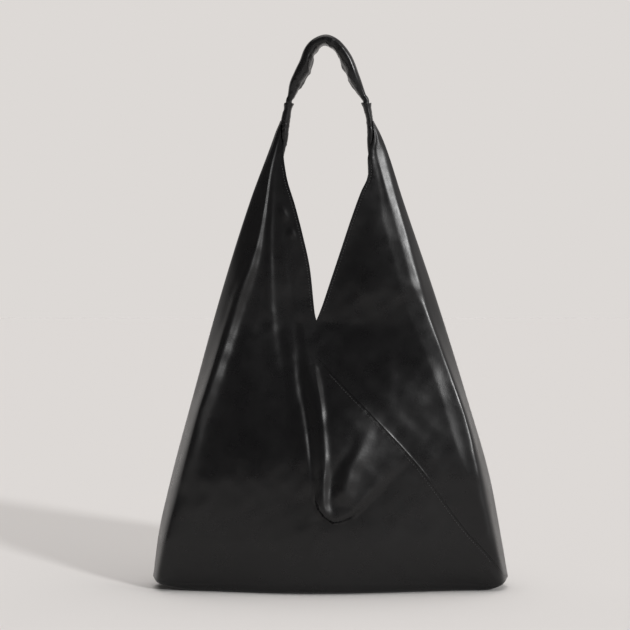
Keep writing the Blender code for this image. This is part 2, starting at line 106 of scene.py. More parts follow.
SEAM_TOP = MOUTH_BOTTOM - MOUTH_SEAM
SLEEVE_FOOT = MOUTH_BOTTOM + MOUTH_RISE
SLEEVE_TOP = SLEEVE_FOOT + SLEEVE_LENGTH
WING_TOP = SLEEVE_FOOT + WING_LAP
PIVOT_Z = SLEEVE_TOP + NECK_RISE
FACING_INSET = LEATHER + CLEARANCE
LINING_INSET = FACING_INSET + FACING + CLEARANCE
POCKET_INSET = LINING_INSET + LINING + POCKET_SLACK

FOLD_SHARES = {
    LEFT: ((0, 1), (0.092, 0.957), (0.214, 0.859), (0.394, 0.686), (0.616, 0.466), (0.826, 0.229),
           (0.946, 0.068), (1, 0)),
    RIGHT: ((0, 1), (0.092, 0.946), (0.214, 0.867), (0.394, 0.691), (0.616, 0.456), (0.826, 0.214),
            (0.946, 0.081), (1, 0)),
}
MOUTH_SHARES = {
    LEFT: ((0, 0), (0.029, 0.03), (0.316, 0.186), (0.52, 0.403), (0.71, 0.647), (0.875, 0.894), (1, 1)),
    RIGHT: ((0, 0), (0.08, 0.1), (0.228, 0.256), (0.417, 0.454), (0.643, 0.69), (0.797, 0.868),
            (0.878, 0.988), (0.913, 1.01), (1, 1)),
}
MOUTH_END_SHARE = {LEFT: 0.3, RIGHT: -1.0}
HUG_SHARE = 0.75
HUG_RISE_SHARE = 0.6
DEPTH_SHARES = ((0, 0.923), (0.117, 1), (0.234, 0.945), (0.391, 0.669), (0.508, 0.337), (0.572, 0.193),
                (0.664, 0.193), (0.781, 0.138), (0.869, 0.061), (0.918, 0.02), (0.957, 0.006), (1, 0))
SEAM_SHARES = ((0, 0), (0.033, 0.023), (0.109, 0.125), (0.2, 0.224), (0.429, 0.527), (0.63, 0.718),
               (0.81, 0.863), (1, 1))
CORNER_RUN_SHARE = {LEFT: 0.3, RIGHT: 0.16}
CORNER_SHARPNESS = 2.2
EDGE_GROWTH_SHARE = 0.2
LEAN_SHARES = ((0, 1), (0.31, 1.05), (0.45, 1.15), (0.72, 0.8), (0.9, 0.3), (1, 0))
SLEEVE_WIDTH_SHARES = {
    LEFT: ((0, 0.59), (0.31, 0.765), (0.49, 0.92), (0.72, 0.96), (0.9, 0.84), (1, 1)),
    RIGHT: ((0, 0.59), (0.31, 0.765), (0.49, 0.78), (0.72, 0.72), (0.9, 0.8), (1, 1)),
}
SLEEVE_DEPTH_SHARES = ((0, 0.62), (0.31, 0.71), (0.49, 0.86), (0.72, 0.92), (1, 1))
# Middle line and half sizes of the gathered cover: it stands a little fuller than its solid at both ends
ARCH_SHARES = ((0.021, 0), (0.066, 0.208), (0.14, 0.397), (0.209, 0.585), (0.266, 0.807), (0.35, 0.936),
               (0.479, 1), (0.583, 0.944), (0.673, 0.824), (0.757, 0.653), (0.847, 0.362), (0.93, 0.12),
               (0.974, 0))
THICKNESS_SHARES = ((0, 0.5), (0.05, 0.64), (0.09, 0.78), (0.15, 0.93), (0.22, 1), (0.33, 0.92),
                    (0.5, 0.8), (0.62, 0.86), (0.75, 0.9), (0.87, 0.82), (0.95, 0.64), (1, 0.5))
WIDTH_SHARES = ((0, 0.45), (0.05, 0.55), (0.1, 0.74), (0.2, 0.95), (0.5, 1), (0.8, 0.95), (0.9, 0.74),
                (0.95, 0.55), (1, 0.45))

# Ridge where a side turns into a face, by share of the height: how far it lies in from the side fold and
# its half depth, then the roundness of the fold and the fullness of the face between ridge and mouth, all
# in shares of the base's half depth. They stay close to those of the part's source
RIDGE_RUN_SHARES = {
    LEFT: ((0, 0.11), (0.123, 0.174), (0.206, 0.212), (0.373, 0.215), (0.473, 0.28), (0.6, 0.295),
           (0.685, 0.315), (0.742, 0.36), (0.8, 0.31), (0.899, 0.144), (0.975, 0.051), (1, 0.05)),
    RIGHT: ((0, 0.15), (0.133, 0.2), (0.202, 0.22), (0.373, 0.18), (0.436, 0.21), (0.52, 0.28),
            (0.611, 0.38), (0.7, 0.33), (0.794, 0.3), (0.854, 0.285), (0.914, 0.27), (0.969, 0.15),
            (1, 0.09)),
}
RIDGE_DEPTH_SHARES = ((0, 0.45), (0.06, 0.65), (0.117, 0.76), (0.234, 0.77), (0.391, 0.635), (0.572, 0.39),
                      (0.664, 0.32), (0.781, 0.235), (0.869, 0.155), (0.918, 0.115), (0.96, 0.09), (1, 0.08))
FOLD_ROUND_SHARES = {
    LEFT: ((0, 0.2), (0.117, 0.2), (0.3, 0.25), (0.45, 0.16), (0.6, 0.06), (1, 0.03)),
    RIGHT: ((0, 0.2), (0.117, 0.18), (0.391, 0.14), (0.6, 0.1), (0.7, 0.09), (0.785, 0.07), (0.87, 0.04),
            (0.92, 0.02), (1, 0.02)),
}
FULLNESS_SHARES = {
    LEFT: ((0, 0), (0.117, 0.02), (0.234, 0.03), (0.391, 0.03), (0.572, 0.01), (0.664, 0), (1, 0)),
    RIGHT: ((0, 0), (0.117, 0.02), (0.234, 0.03), (0.391, 0.03), (0.572, 0.03), (0.66, 0.04), (0.76, 0.03),
            (0.84, 0.01), (1, 0)),
}
RIDGE_LIMIT_SHARE = 0.7
RIDGE_POWERS = {LEFT: ((0, 4), (0.2, 4), (0.33, 7), (0.5, 7), (0.6, 4), (0.75, 5), (0.9, 8), (1, 10)),
                RIGHT: ((0, 4), (0.28, 9), (0.36, 18), (0.64, 20), (0.8, 20), (0.9, 12), (1, 10))}
# Shoulders beside a ridge: each slope with which the face falls away towards the ridge and, by share of the
# height, how far in from the ridge (in millimetres) it starts
SHOULDERS = {LEFT: (), RIGHT: (
    (0.09, ((0, -30), (0.1, -30), (0.2, 8), (0.35, 20), (0.5, 17), (0.64, 15), (0.78, 13), (0.86, 5),
            (0.94, -1), (1, -4))),
    (0.025, ((0, -30), (0.08, -30), (0.16, 10), (0.35, 20), (0.47, 14), (0.55, 6), (0.62, -12), (1, -30))),
    (0.14, ((0, -30), (0.5, -14), (0.59, -7), (0.63, -1), (0.67, 1.5), (0.74, 0.2), (0.8, -0.5), (0.87, -1.5),
            (0.94, -2), (1, -4))),
)}
SHOULDER_ROUND = 0.9 * MM
DRAPE_X = 0.010
DRAPE_Z = 0.165
DRAPE_HALF_WIDTH = 0.042
DRAPE_HALF_HEIGHT = 0.070
DRAPE_SWELL = 0.002
LEAST_FACING_SHARE = 0.28
FACING_TOP = MOUTH_BOTTOM + MOUTH_RISE * 5 / 6
FACING_FOOT_SHARE = 0.88
SNAP_SEAT = 0.0005

# The wing's leather is pared thin where it meets the sleeve
SKIVE, SKIVE_RUN = 0.9 * MM, 0.014

# The gathered cover starts inside the sleeves. Its rings
# are ovals at a power of 1 and blunter below it. Its inner side hangs lower at the back by an uneven lean
COVER_FOOT = 0.521
COVER_STEPS, COVER_SIDES = 460, 72
NECK_HALF_SIZES = (3.7 * MM, 4.9 * MM)
OUTER_POWER, INNER_POWER = 0.8, 0.55
INNER_LEAN = 0.5
INNER_TURNS = (
    (0, 0), (0.04, 0.7), (0.12, 1.2), (0.17, 0.9), (0.22, 1.5), (0.3, 1.3), (0.36, 0.2), (0.42, 0.8),
    (0.46, -0.2), (0.5, 0.6), (0.56, -0.6), (0.64, -0.5), (0.7, 0.7), (0.76, 1.1), (0.82, 0.5), (0.88, 1.3),
    (0.96, 0.9), (1, 0))

# Steps of the fine grid. The hidden inner skin takes every fourth point
SKIP = 4
UNDER_STEPS = 14
ROLL_STEPS = 10
CLIMB_STEPS = 128
NECK_STEPS = 24
WING_STEPS = 136
COLUMN_STEPS = 128
CROWD_STEPS = 4000
# Where the grid's lines crowd: place, width and how much
COLUMN_SPOTS = {LEFT: ((0, 0.02, 3), (0.27, 0.1, 1), (0.92, 0.06, 0.8), (1, 0.012, 3)),
                RIGHT: ((0, 0.02, 3), (0.25, 0.1, 1), (0.96, 0.04, 1.4), (1, 0.012, 3))}
CLIMB_SPOTS = ((0.24, 0.05, 1.5), (1, 0.01, 4))
NECK_SPOTS = ((0, 0.06, 4),)
FACING_COLUMNS, FACING_STEPS = 12, (10, 70)
LINING_COLUMNS, LINING_LOW_STEPS, LINING_HIGH_STEPS = 44, (10, 6, 44), (6, 50)
POCKET_COLUMNS, POCKET_ROWS = 60, 56
FOLD_SPOTS = 60
SEAM_SPOTS = 90
MOUTH_SPOTS = 120
ARCH_SPOTS, DROP_SPOTS = 240, 20
PADDING_STEPS, PADDING_SIDES = 120, 24
STRAP_SPOTS, STRAP_LINE_SPOTS, STRAP_SIDES = 24, 240, 16
SNAP_SIDES = 64
# Rounds that find the wall behind a pixel, and the points on each side that smooth the handle's line
PLACE_ROUNDS = 6
SMOOTHING = 12
# Angles in degrees from which an edge is sharp, and the distance at which points are one
SHARP, SNAP_SHARP, STITCH_SHARP = 50, 35, 80
MERGE = 0.01 * MM

# The wall's depth at the side fold is just over nothing, and the gaps of seam and mouth open over these
LEAST_DEPTH = 1e-9
SEAM_OPENING_SHARE = 0.02
PARTING_RUN = 3 * MM
# A fold is worked out this many widths from its line
FOLD_WIDTHS_KEPT = 3
# How blunt the lip of the loose leather is
DRAPE_LIP_POWER = 2.2

# Creases of the facing and the lining: height, longest wave and seed, then by how much the shortest wave
# is shorter, how high they all stand and how near the middle plane they end
FACING_CREASES = (0.25 * MM, 0.04, 71)
LINING_CREASES = (1.4 * MM, 0.09, 81)
CREASE_RANGE = 6
CREASE_LIFT_SHARE = 0.6
CREASE_FADE = 0.02
# The pocket: seed, longest and shortest wave and height of its creases, its gape and its hem
POCKET_CREASES = (91, 0.05, 0.012, 0.35 * MM)
POCKET_GAPE = 1.6 * MM
POCKET_HEM = 0.5 * MM
POCKET_HEM_SHARE, POCKET_HEM_RUN_SHARE = 0.88, 0.02

# A rolled sleeve: its grid, the taper at its foot, its pinch and its flare, then its creases, the edge of
# the leather that laps round it, and its uneven top
SLEEVE_SIDES, SLEEVE_STEPS = 64, 150
TAPER, TAPER_SHARE = 0.012, 0.85
SLEEVE_PINCH, PINCH_RUN = {LEFT: 2.1 * MM, RIGHT: 0.4 * MM}, 0.028
FLARE, FLARE_RUN = 0.45 * MM, 0.009
SLEEVE_SEED, SLEEVE_CREASES = 5, 26
CREASE_END = 4 * MM
CREASE_TILT = 5 * MM
CREASE_WIDTHS = (0.8 * MM, 2.0 * MM)
CREASE_HEIGHTS = (-0.5 * MM, 0.4 * MM)
CREASE_POWER = 1.5
OVERLAP, OVERLAP_RUN, OVERLAP_EDGE = 0.5 * MM, 0.01, 4
OVERLAP_TURN = {LEFT: math.radians(200), RIGHT: math.radians(-20)}
RAGGED, RAGGED_RUN = 0.5 * MM, 0.008
LIP_ROUND, LIP_RISE = 0.4 * MM, 0.35 * MM
# Waves of the uneven top: strength, number round the sleeve and phase
RAGGED_WAVES = {LEFT: ((1, 2, -1.3), (0.5, 5, 2)), RIGHT: ((1, 2, 1.3), (0.5, 5, 2))}
# Rings of the bore: depth below the sleeve's top and thickness of the wall, or 0 in the bore proper
BORE_RINGS = ((0, 0.9 * MM), (0.004, 1.2 * MM), (0.010, 1.4 * MM), (0.018, 0), (BORE_DEPTH, 0))

# The handle: gathers as seed, count, height and width, and where they, the padding and the strap end
GATHERS = ((17, 11, 1.3 * MM, 6 * MM), (23, 34, 0.35 * MM, 2.2 * MM))
GATHER_FADE_SHARE, GATHER_FOOT_SHARE = 0.1, 0.35
GATHER_END_SHARE, LEAST_GATHER_SHARE = 0.02, 0.02
GATHER_SPREAD, GATHER_HOLLOW = 1.1, 1.6
GATHER_SINK = 0.3 * MM
# Ranges of a gather's shift, turn and tilt, of its width and height, and of the dip beside it
GATHER_SHIFTS, GATHER_TURNS, GATHER_TILTS = (-0.3, 0.3), (-1.0, 1.0), (-2, 2)
GATHER_WIDTHS, GATHER_HEIGHTS, GATHER_DIPS = (0.7, 1.3), (0.5, 1.0), (0.2, 0.5)
PADDING_START_SHARE, PADDING_ROUND_SHARE, LEAST_PADDING_SHARE = 0.05, 0.03, 0.05
STRAP_SHARE = 0.08
STRAP_JOIN = 0.003

# Rings of the snap, as radius and height in millimetres: the rim, then the socket's or the stud's middle
SNAP_RIM = ((7.0, 0), (7.8, 0.25), (8.0, 0.7), (8.0, 2.3), (7.75, 2.8), (7.2, 3.0), (6.6, 2.95), (6.2, 2.6),
            (5.7, 2.5), (5.2, 2.55), (4.9, 2.9), (4.4, 3.0))
SNAP_MIDDLES = {FRONT: ((3.3, 3.0), (3.1, 2.8), (3.05, 1.7), (2.7, 1.6)),
                BACK: ((3.0, 3.0), (2.8, 3.2), (2.75, 3.9), (2.45, 4.2))}

# Stitches, and how far from the ends of the mouth and on which share of the seam they lie
STITCH_PITCH, STITCH_LENGTH, STITCH_RADIUS = 3.1 * MM, 1.7 * MM, 0.45 * MM
STITCH_LIFT, STITCH_DIP, STITCH_THINNING = 0.25 * MM, 0.75 * MM, 0.35
STITCH_RINGS, STITCH_SIDES = 7, 7
STITCH_NUDGE = 0.4 * MM
STITCH_START, STITCH_END = 0.008, 0.004
SEAM_STITCH_REACH = 2.4 * MM
SEAM_STITCH_SHARES = (0.1, 0.93)

# Colours of each material from dark to light, and of the surroundings
LEATHER_DARK, LEATHER_LIGHT = (0.0030, 0.0030, 0.0034), (0.0060, 0.0059, 0.0063)
LINING_DARK, LINING_LIGHT = (0.020, 0.020, 0.022), (0.036, 0.035, 0.037)
THREAD_DARK, THREAD_LIGHT = (0.012, 0.012, 0.013), (0.034, 0.034, 0.035)
STEEL_DARK, STEEL_LIGHT = (0.20, 0.19, 0.18), (0.34, 0.33, 0.31)
FLOOR_COLOUR = (0.719, 0.708, 0.698)
FLOOR_HALF = 150.0
BACKDROP = (0.7230, 0.6939, 0.6724)
# How far back a glossy or clear ray has to run to begin to see the backdrop, and to see it fully
BACKDROP_EDGE = (0.5, 0.76)
SUN_STRENGTH = 1.75
SUN_ANGLE = math.radians(6)
SUN_HEADING = (-0.580, 0.733, -0.358)
SURROUND = 0.05
SURROUND_COLOUR = (1.0, 0.965, 0.945)
# Bright parts of the surround: direction, where each begins and is full (as a cosine), and its strength
LOBES = (
    ((0.0, 1.0, -0.1), 0.60, 0.80, 0.35),
    ((1.0, 0.0, 0.1), 0.35, 0.85, 0.95),
    ((0.0, 0.0, 1.0), 0.80, 0.97, 2.75),
    ((0.0, -1.0, -0.14), 0.92, 0.995, 0.24),
    ((-0.9, -0.44, 0.0), 0.50, 0.95, 0.14),
    ((-0.85, 0.53, 0.0), 0.86, 0.97, 0.9),
)


def read_curve(points, places):
    """Read a smooth curve through (place, value) points that never overshoots them."""
    place, value = np.array(points, float).T
    rises = np.diff(value) / np.diff(place)
    pairs = rises[:-1] * rises[1:]
    total = np.where(pairs > 0, rises[:-1] + rises[1:], 1)
    slopes = np.concatenate((rises[:1], np.where(pairs > 0, 2 * pairs / total, 0), rises[-1:]))
    at = np.clip(places, place[0], place[-1])
    index = np.clip(np.searchsorted(place, at, side="right") - 1, 0, len(rises) - 1)
    run = place[index + 1] - place[index]
    t = (at - place[index]) / run
    keep = value[index] * (1 + 2 * t) + slopes[index] * run * t
    reach = value[index + 1] * (3 - 2 * t) - slopes[index + 1] * run * (1 - t)
    return keep * (1 - t) ** 2 + reach * t ** 2


def read_line(points, places):
    """Read the straight stretches between (place, value) points."""
    return np.interp(places, *zip(*points))


def ease(share):
    share = np.clip(share, 0, 1)
    return share * share * (3 - 2 * share)


def bell(away, width):
    return np.exp(-(away / width) ** 2)


def round_angles(count):
    return np.linspace(0, math.tau, count + 1)[:-1]


def unit(vectors):
    return vectors / np.linalg.norm(vectors, axis=-1, keepdims=True)


def lengths_to(line):
    """Length of a line up to each of its points."""
    return np.concatenate(([0], np.cumsum(np.linalg.norm(np.diff(line, axis=0), axis=1))))


def points_at(line, lengths):
    """Points of a line at the given lengths from its start."""
    return np.stack([np.interp(lengths, lengths_to(line), line[:, i]) for i in (0, 1)], axis=1)


def smooth_line(points, count=FOLD_SPOTS):
    """A line through the points with no kinks, as an array of x and z."""
    spots = np.array(points, float)
    shares = lengths_to(spots) / lengths_to(spots)[-1]
    along = np.linspace(0, 1, count)
    return np.stack([read_curve(np.stack([shares, spots[:, i]], axis=1), along) for i in (0, 1)], axis=1)


def sleeve_share(z):
    return (z - SLEEVE_FOOT) / SLEEVE_LENGTH


def sleeve_x(side, z):
    lean = SLEEVE_LEAN * read_curve(LEAN_SHARES, sleeve_share(z))
    return HANDLE_X + side * (HANDLE_SPAN / 2 + lean)


def sleeve_half_width(side, z):
    return SLEEVE_HALF_WIDTH * read_curve(SLEEVE_WIDTH_SHARES[side], sleeve_share(z))


def sleeve_half_depth(z):
    return SLEEVE_HALF_DEPTH * read_curve(SLEEVE_DEPTH_SHARES, sleeve_share(z))


def fold_x(side, z):
    """Outer fold of a wing, from the base corner up to just outside the sleeve."""
    wing = side * sleeve_x(side, WING_TOP) + sleeve_half_width(side, WING_TOP) + CLEARANCE + LEATHER
    rise = (z - CORNER_LIFT) / (WING_TOP - CORNER_LIFT)
    return side * (wing + (BASE_WIDTH / 2 - wing) * read_curve(FOLD_SHARES[side], rise))


def mouth_x(side, z):
    """Edge of the mouth. Below the mouth it is the middle line."""
    foot = sleeve_x(side, SLEEVE_FOOT)
    end = foot + side * MOUTH_END_SHARE[side] * sleeve_half_width(side, SLEEVE_FOOT)
    climb = (z - MOUTH_BOTTOM) / MOUTH_RISE
    edge = MOUTH_X + (end - MOUTH_X) * read_curve(MOUTH_SHARES[side], climb)
    hug = ease((z - SLEEVE_FOOT) / (WING_LAP * HUG_RISE_SHARE))
    flank = sleeve_x(side, z) + side * HUG_SHARE * sleeve_half_width(side, z)
    return edge + (flank - edge) * hug


def half_depth(z, inset):
    """Half depth of a layer at the middle line or the mouth."""
    flank = sleeve_half_depth(WING_TOP) * math.sqrt(1 - HUG_SHARE ** 2)
    wing = flank + CLEARANCE + LEATHER
    return wing + (BASE_DEPTH / 2 - wing) * read_curve(DEPTH_SHARES, z / WING_TOP) - inset


def pixel_place(px, py, y):
    """Where a pixel of the photograph lies on the upright plane at y."""
    scale = (CAMERA_DISTANCE + y) / FOCAL_PIXELS
    return CAMERA_X + (px - PICTURE_MIDDLE) * scale, CAMERA_HEIGHT + (PICTURE_MIDDLE - py) * scale


def base_share(points, z):
    """A length at a height, given in shares of the wing's height and of the base's half depth."""
    return BASE_DEPTH / 2 * read_curve(points, z / WING_TOP)


def wall_depth(side, z, reach, inset):
    """Distance of a layer from the middle plane: round fold, side, ridge, and face up to the mouth."""
    span = np.abs(mouth_x(side, z) - fold_x(side, z)) - inset
    run = np.minimum(base_share(RIDGE_RUN_SHARES[side], z), RIDGE_LIMIT_SHARE * span)
    out = reach * span
    ridge = base_share(RIDGE_DEPTH_SHARES, z) - inset
    flank = np.sqrt(2 * base_share(FOLD_ROUND_SHARES[side], z) * out + (ridge / run * out) ** 2) + LEAST_DEPTH
    across = np.clip((out - run) / (span - run), 0, 1)
    fullness = base_share(FULLNESS_SHARES[side], z) * np.sin(np.pi * across) ** 2
    face = ridge + (half_depth(z, inset) - ridge) * ease(across) + fullness
    for slope, starts in SHOULDERS[side]:
        past = (MM * read_curve(starts, z / WING_TOP) - (out - run)) / SHOULDER_ROUND
        face = face - slope * SHOULDER_ROUND * np.logaddexp(0, past)
    power = read_curve(RIDGE_POWERS[side], z / WING_TOP)
    return flank * face / (flank ** power + face ** power) ** (1 / power)


def drape_swell(face, x, z):
    """How far the loose leather under the mouth swells the front."""
    away = ((x - DRAPE_X) / DRAPE_HALF_WIDTH) ** 2 + ((z - DRAPE_Z) / DRAPE_HALF_HEIGHT) ** 2
    return (DRAPE_SWELL if face == FRONT else 0) * np.maximum(0, 1 - away) ** 2


def reach_of(side, x, z):
    fold = fold_x(side, z)
    return np.clip((x - fold) / (mouth_x(side, z) - fold), 0, 1)


def front_place(px, py):
    """Where a pixel of the photograph meets the front wall, as x and z."""
    x, z = pixel_place(px, py, -BASE_DEPTH / 4)
    for _ in range(PLACE_ROUNDS):
        side = RIGHT if x > MOUTH_X else LEFT
        y = -float(wall_depth(side, z, reach_of(side, x, z), 0) + drape_swell(FRONT, x, z))
        x, z = pixel_place(px, py, y)
    return x, z


def hump(height):
    """A height that starts and ends at nothing."""
    return (0, 0), (0.5, height), (1, 0)


# A fold lies along a line. Its height, and its widths to the left and right of the line (going down),
# are one number of millimetres or a curve of (share of the line, millimetres). A dip's height is
# negative. The hollow is the share of the height that the leather sinks on the right, and the tail is its
# width
Fold = namedtuple("Fold", "line height left right hollow tail", defaults=(0, 8))

FRONT_FOLDS = (
    # welts on the two ridges
    Fold(((282, 121), (279.8, 131.7), (269.6, 171), (264.5, 204), (259.0, 232), (250.5, 263), (238.5, 295),
          (233.5, 310), (215, 367), (200, 412), (190, 455), (180, 495)),
         ((0, 0), (0.1, 0.8), (0.3, 2.1), (0.4, 3.6), (0.5, 4.6), (0.62, 4.1), (0.75, 3.6), (0.88, 2.6),
          (1, 0)),
         ((0, 1.5), (0.5, 6), (1, 8)), ((0, 1.0), (0.2, 2.6), (0.4, 7.5), (0.6, 10), (1, 10)), 0.4, 18),
    Fold(((371, 118), (373.6, 134), (378, 156), (388.5, 197), (397, 225), (402.5, 254), (410.5, 288.6),
          (417.5, 310), (430, 342), (446, 385), (458, 420)),
         ((0, 0), (0.2, 0.3), (0.32, 0), (1, 0)), ((0, 1.5), (1, 8)), ((0, 1.5), (1, 6))),
    # left wing: folds that run down from the sleeve, and small dents by the mouth
    Fold(((273.5, 160), (271.5, 207), (269.8, 237), (269.8, 269), (271, 310), (274, 345), (279, 374),
          (286, 410)),
         ((0, 0), (0.3, 0.9), (0.5, 0.9), (0.75, 0.4), (1, 0)), ((0, 2.5), (1, 9)), ((0, 3), (1, 6)),
         0.3, 10),
    Fold(((279, 222), (281, 237), (284, 263), (287, 285), (289, 310)),
         ((0, 0), (0.6, 0.35), (1, 0.2)), 6, 4, 0.3, 8),
    Fold(((279, 203), (283, 212), (288, 222)), hump(1.2), 5, 4),
    Fold(((289, 227), (292, 233), (294, 240)), hump(0.8), 4, 3.5),
    # left of the centre: a soft crest that runs down into the tip of the drape
    Fold(((288.8, 310), (291, 335), (293, 356), (294.5, 386.5), (299.5, 412), (303.5, 437),
          (307.5, 469), (311, 492), (316, 505)),
         ((0, 0), (0.08, 0.6), (0.3, 1.2), (0.7, 1.7), (0.85, 1.6), (1, 0)), 9, 6, 0.4, 12),
    Fold(((288, 354), (291, 356), (294, 360)), hump(0.15), 2, 2),
    # crest of the drape: it falls off on its right and climbs again slowly
    Fold(((313.5, 364), (316.5, 381), (319.5, 400), (321, 415), (322.6, 437), (324, 463), (322.5, 484),
          (322.5, 502), (327, 518)),
         ((0, 0), (0.07, 1.2), (0.2, 1.7), (0.3, 1.3), (0.42, 0.85), (0.55, 0.9), (0.68, 1.6), (0.85, 2.2),
          (0.94, 1.6), (1, 0)),
         ((0, 12), (1, 16)), ((0, 2.8), (0.15, 4.2), (0.5, 4.8), (1, 6)), 0.6, 24),
    # its second crest, from the seam down to the tip
    Fold(((368, 414), (369, 430), (361, 448), (350, 468), (345, 486), (342, 506)),
         ((0, 0), (0.2, 0.35), (0.6, 1.7), (0.85, 2.5), (1, 0)), 8,
         ((0, 7), (0.5, 9), (1, 11)), 0.3, 16),
    Fold(((357, 438), (350, 452), (339, 466), (333, 480), (334, 498)),
         ((0, 0), (0.4, -0.9), (0.8, -0.7), (1, 0)), 5, 5),
    # right wing: the leather by the mouth leans to the right, and soft bands run down beside the ridge
    Fold(((369, 130), (366, 160), (362, 185), (356, 206), (348, 226), (340, 250)),
         ((0, 0), (0.4, 2.2), (0.7, 2.0), (1, 0)), 4, ((0, 8), (0.5, 13), (1, 18))),
    Fold(((386, 340), (389, 365), (389, 388), (386, 410)), hump(0.6), 10, 8, 0.3, 12),
    Fold(((438, 352), (446, 385), (455, 418), (464, 452), (474, 497), (484, 535)),
         ((0, 0), (0.3, -0.3), (0.7, -0.4), (1, 0)), 9, 6),
    # base corners
    Fold(((152, 571), (160, 577), (168, 580), (180, 583)), ((0, 0.5), (0.4, 1.4), (1, 0)), 3, 4),
    Fold(((166, 558), (170, 566), (176, 574)), hump(1.3), 3, 4),
    Fold(((494, 545), (500, 558), (506, 573)), ((0, 0), (0.5, 1.5), (1, 0.5)), 4, 3),
    Fold(((484, 566), (494, 576), (502, 584)), ((0, 0), (0.6, 1.2), (1, 0)), 3, 4),
)

# Folds of the back, which the photograph doesn't show: lines of x and z in millimetres
BACK_FOLDS = (
    Fold(((-50, 480), (-62, 430), (-80, 360), (-100, 300), (-128, 220), (-148, 150)),
         ((0, 0.4), (0.3, 2.6), (0.7, 3.0), (1, 0)), ((0, 2), (1, 8)), ((0, 3), (1, 10)), 0.4, 18),
    Fold(((40, 480), (54, 420), (72, 350), (96, 280), (124, 200), (146, 130)),
         ((0, 0.4), (0.3, 2.6), (0.7, 3.2), (1, 0)), ((0, 3), (1, 11)), ((0, 2), (1, 8)), 0.4, 16),
    Fold(((-46, 440), (-52, 380), (-56, 320), (-60, 260), (-58, 200)),
         ((0, 0.2), (0.4, 2.4), (1, 0)), ((0, 3), (1, 12)), ((0, 3), (1, 10)), 0.3, 16),
    Fold(((30, 430), (40, 370), (44, 310), (40, 250)),
         ((0, 0.2), (0.5, 2.4), (1, 0)), ((0, 3), (1, 9)), ((0, 3), (1, 11)), 0.3, 16),
    Fold(((-12, 262), (-20, 230), (-28, 190), (-30, 150), (-24, 110)),
         ((0, 0), (0.4, 4.0), (0.8, 4.5), (1, 0)), ((0, 8), (1, 10)), ((0, 10), (1, 12))),
    Fold(((4, 250), (10, 215), (14, 175), (10, 135)), hump(3.0), 8, 11),
    Fold(((-8, 235), (-9, 200), (-8, 165), (-6, 130)), hump(-1.5), 6, 6),
    Fold(((-176, 26), (-165, 22), (-150, 20)), hump(1.6), 3, 4),
    Fold(((178, 30), (166, 22), (152, 18)), hump(1.6), 3, 4),
)

# The loose leather under the mouth: its left edge and its lip in pixels, then by height in millimetres its
# lift and its flank's width, and by place along X the lip's roundness
DRAPE_EDGE = ((303, 258), (292, 270), (287, 283), (287, 297), (290, 335), (294, 362), (300, 392), (306, 422),
              (310, 460), (312, 492), (313, 560))
DRAPE_LIP = ((290, 440), (304, 474), (311, 493), (318, 509), (326, 519), (334, 523), (347, 520), (360, 510),
             (372, 498), (386, 484), (410, 462))
DRAPE_LIFT = ((70, 7.5), (100, 7.5), (144, 6.0), (187, 4.4), (229, 3), (272, 1.7), (315, 0.8), (359, 0))
DRAPE_FLANK = ((80, 6), (100, 9), (144, 13), (187, 15), (229, 17), (272, 17), (315, 11), (359, 9))
DRAPE_ROUND = ((-30, 6), (2, 5), (20, 6), (44, 14), (73, 24))
DRAPE_FADE = 0.085

# A sewn seam's groove, the fuller edge above it and the puckers that its thread pulls in below and above
SEAM_GROOVE, SEAM_GROOVE_WIDTH = 0.22 * MM, 0.6 * MM
SEAM_EDGE, SEAM_EDGE_REACH, SEAM_EDGE_WIDTH = 0.26 * MM, 1.1 * MM, 0.9 * MM
PUCKER_BELOW, PUCKER_BELOW_WIDTH = 0.22 * MM, 4.5 * MM
PUCKER_ABOVE, PUCKER_ABOVE_WIDTH = 0.08 * MM, 2.0 * MM
SEAM_PULL = (7.4 * MM, 31 * MM, 1.5)
# How strong each of these is, by share of the way down the seam
SEAM_GROOVE_SHARES = ((0, 0), (0.12, 0.1), (0.3, 1), (0.6, 1), (1, 0.8))
SEAM_EDGE_SHARES = ((0.1, 0), (0.28, 0.2), (0.34, 1), (0.5, 1), (0.6, 0.3), (1, 0.15))
SEAM_PULL_SHARES = ((0, 0.1), (0.08, 0.5), (0.2, 1), (0.5, 0.8), (0.75, 0.5), (1, 0.4))

# The turned edge along the mouth: its thickness ends past the stitches, which lie in a groove
STITCH_REACH = 3.4 * MM
HEM, HEM_REACH, HEM_SLOPE = 0.06 * MM, 4.5 * MM, 3 * MM
HEM_GROOVE, HEM_GROOVE_WIDTH = 0.07 * MM, 0.8 * MM
HEM_PUCKER, HEM_PUCKER_REACH, HEM_PUCKER_WIDTH = 0.08 * MM, 5 * MM, 3 * MM
HEM_PULL = (5.1 * MM, 27 * MM, 2)
HEM_FOOT_RUN, HEM_HEAD_RUN = 14 * MM, 20 * MM

# Gentle unevenness of the leather, calmer where the wing is narrow: seed, longest and shortest wave, height
RIPPLES = ((11, 0.15, 0.05, 1.1 * MM), (31, 0.04, 0.014, 0.22 * MM))
RIPPLE_LIFT = 0.7 * MM
CALM_SPAN = 90 * MM
WAVES = 14
# The relief fades out towards the side fold and the underside, and a soft limit holds it above a depth
FOLD_FADE = 16 * MM
FOOT_FADE_START, FOOT_FADE = 3 * MM, 16 * MM
SINK = 0.5 * MM
LEAST_SINK = 0.3 * MM


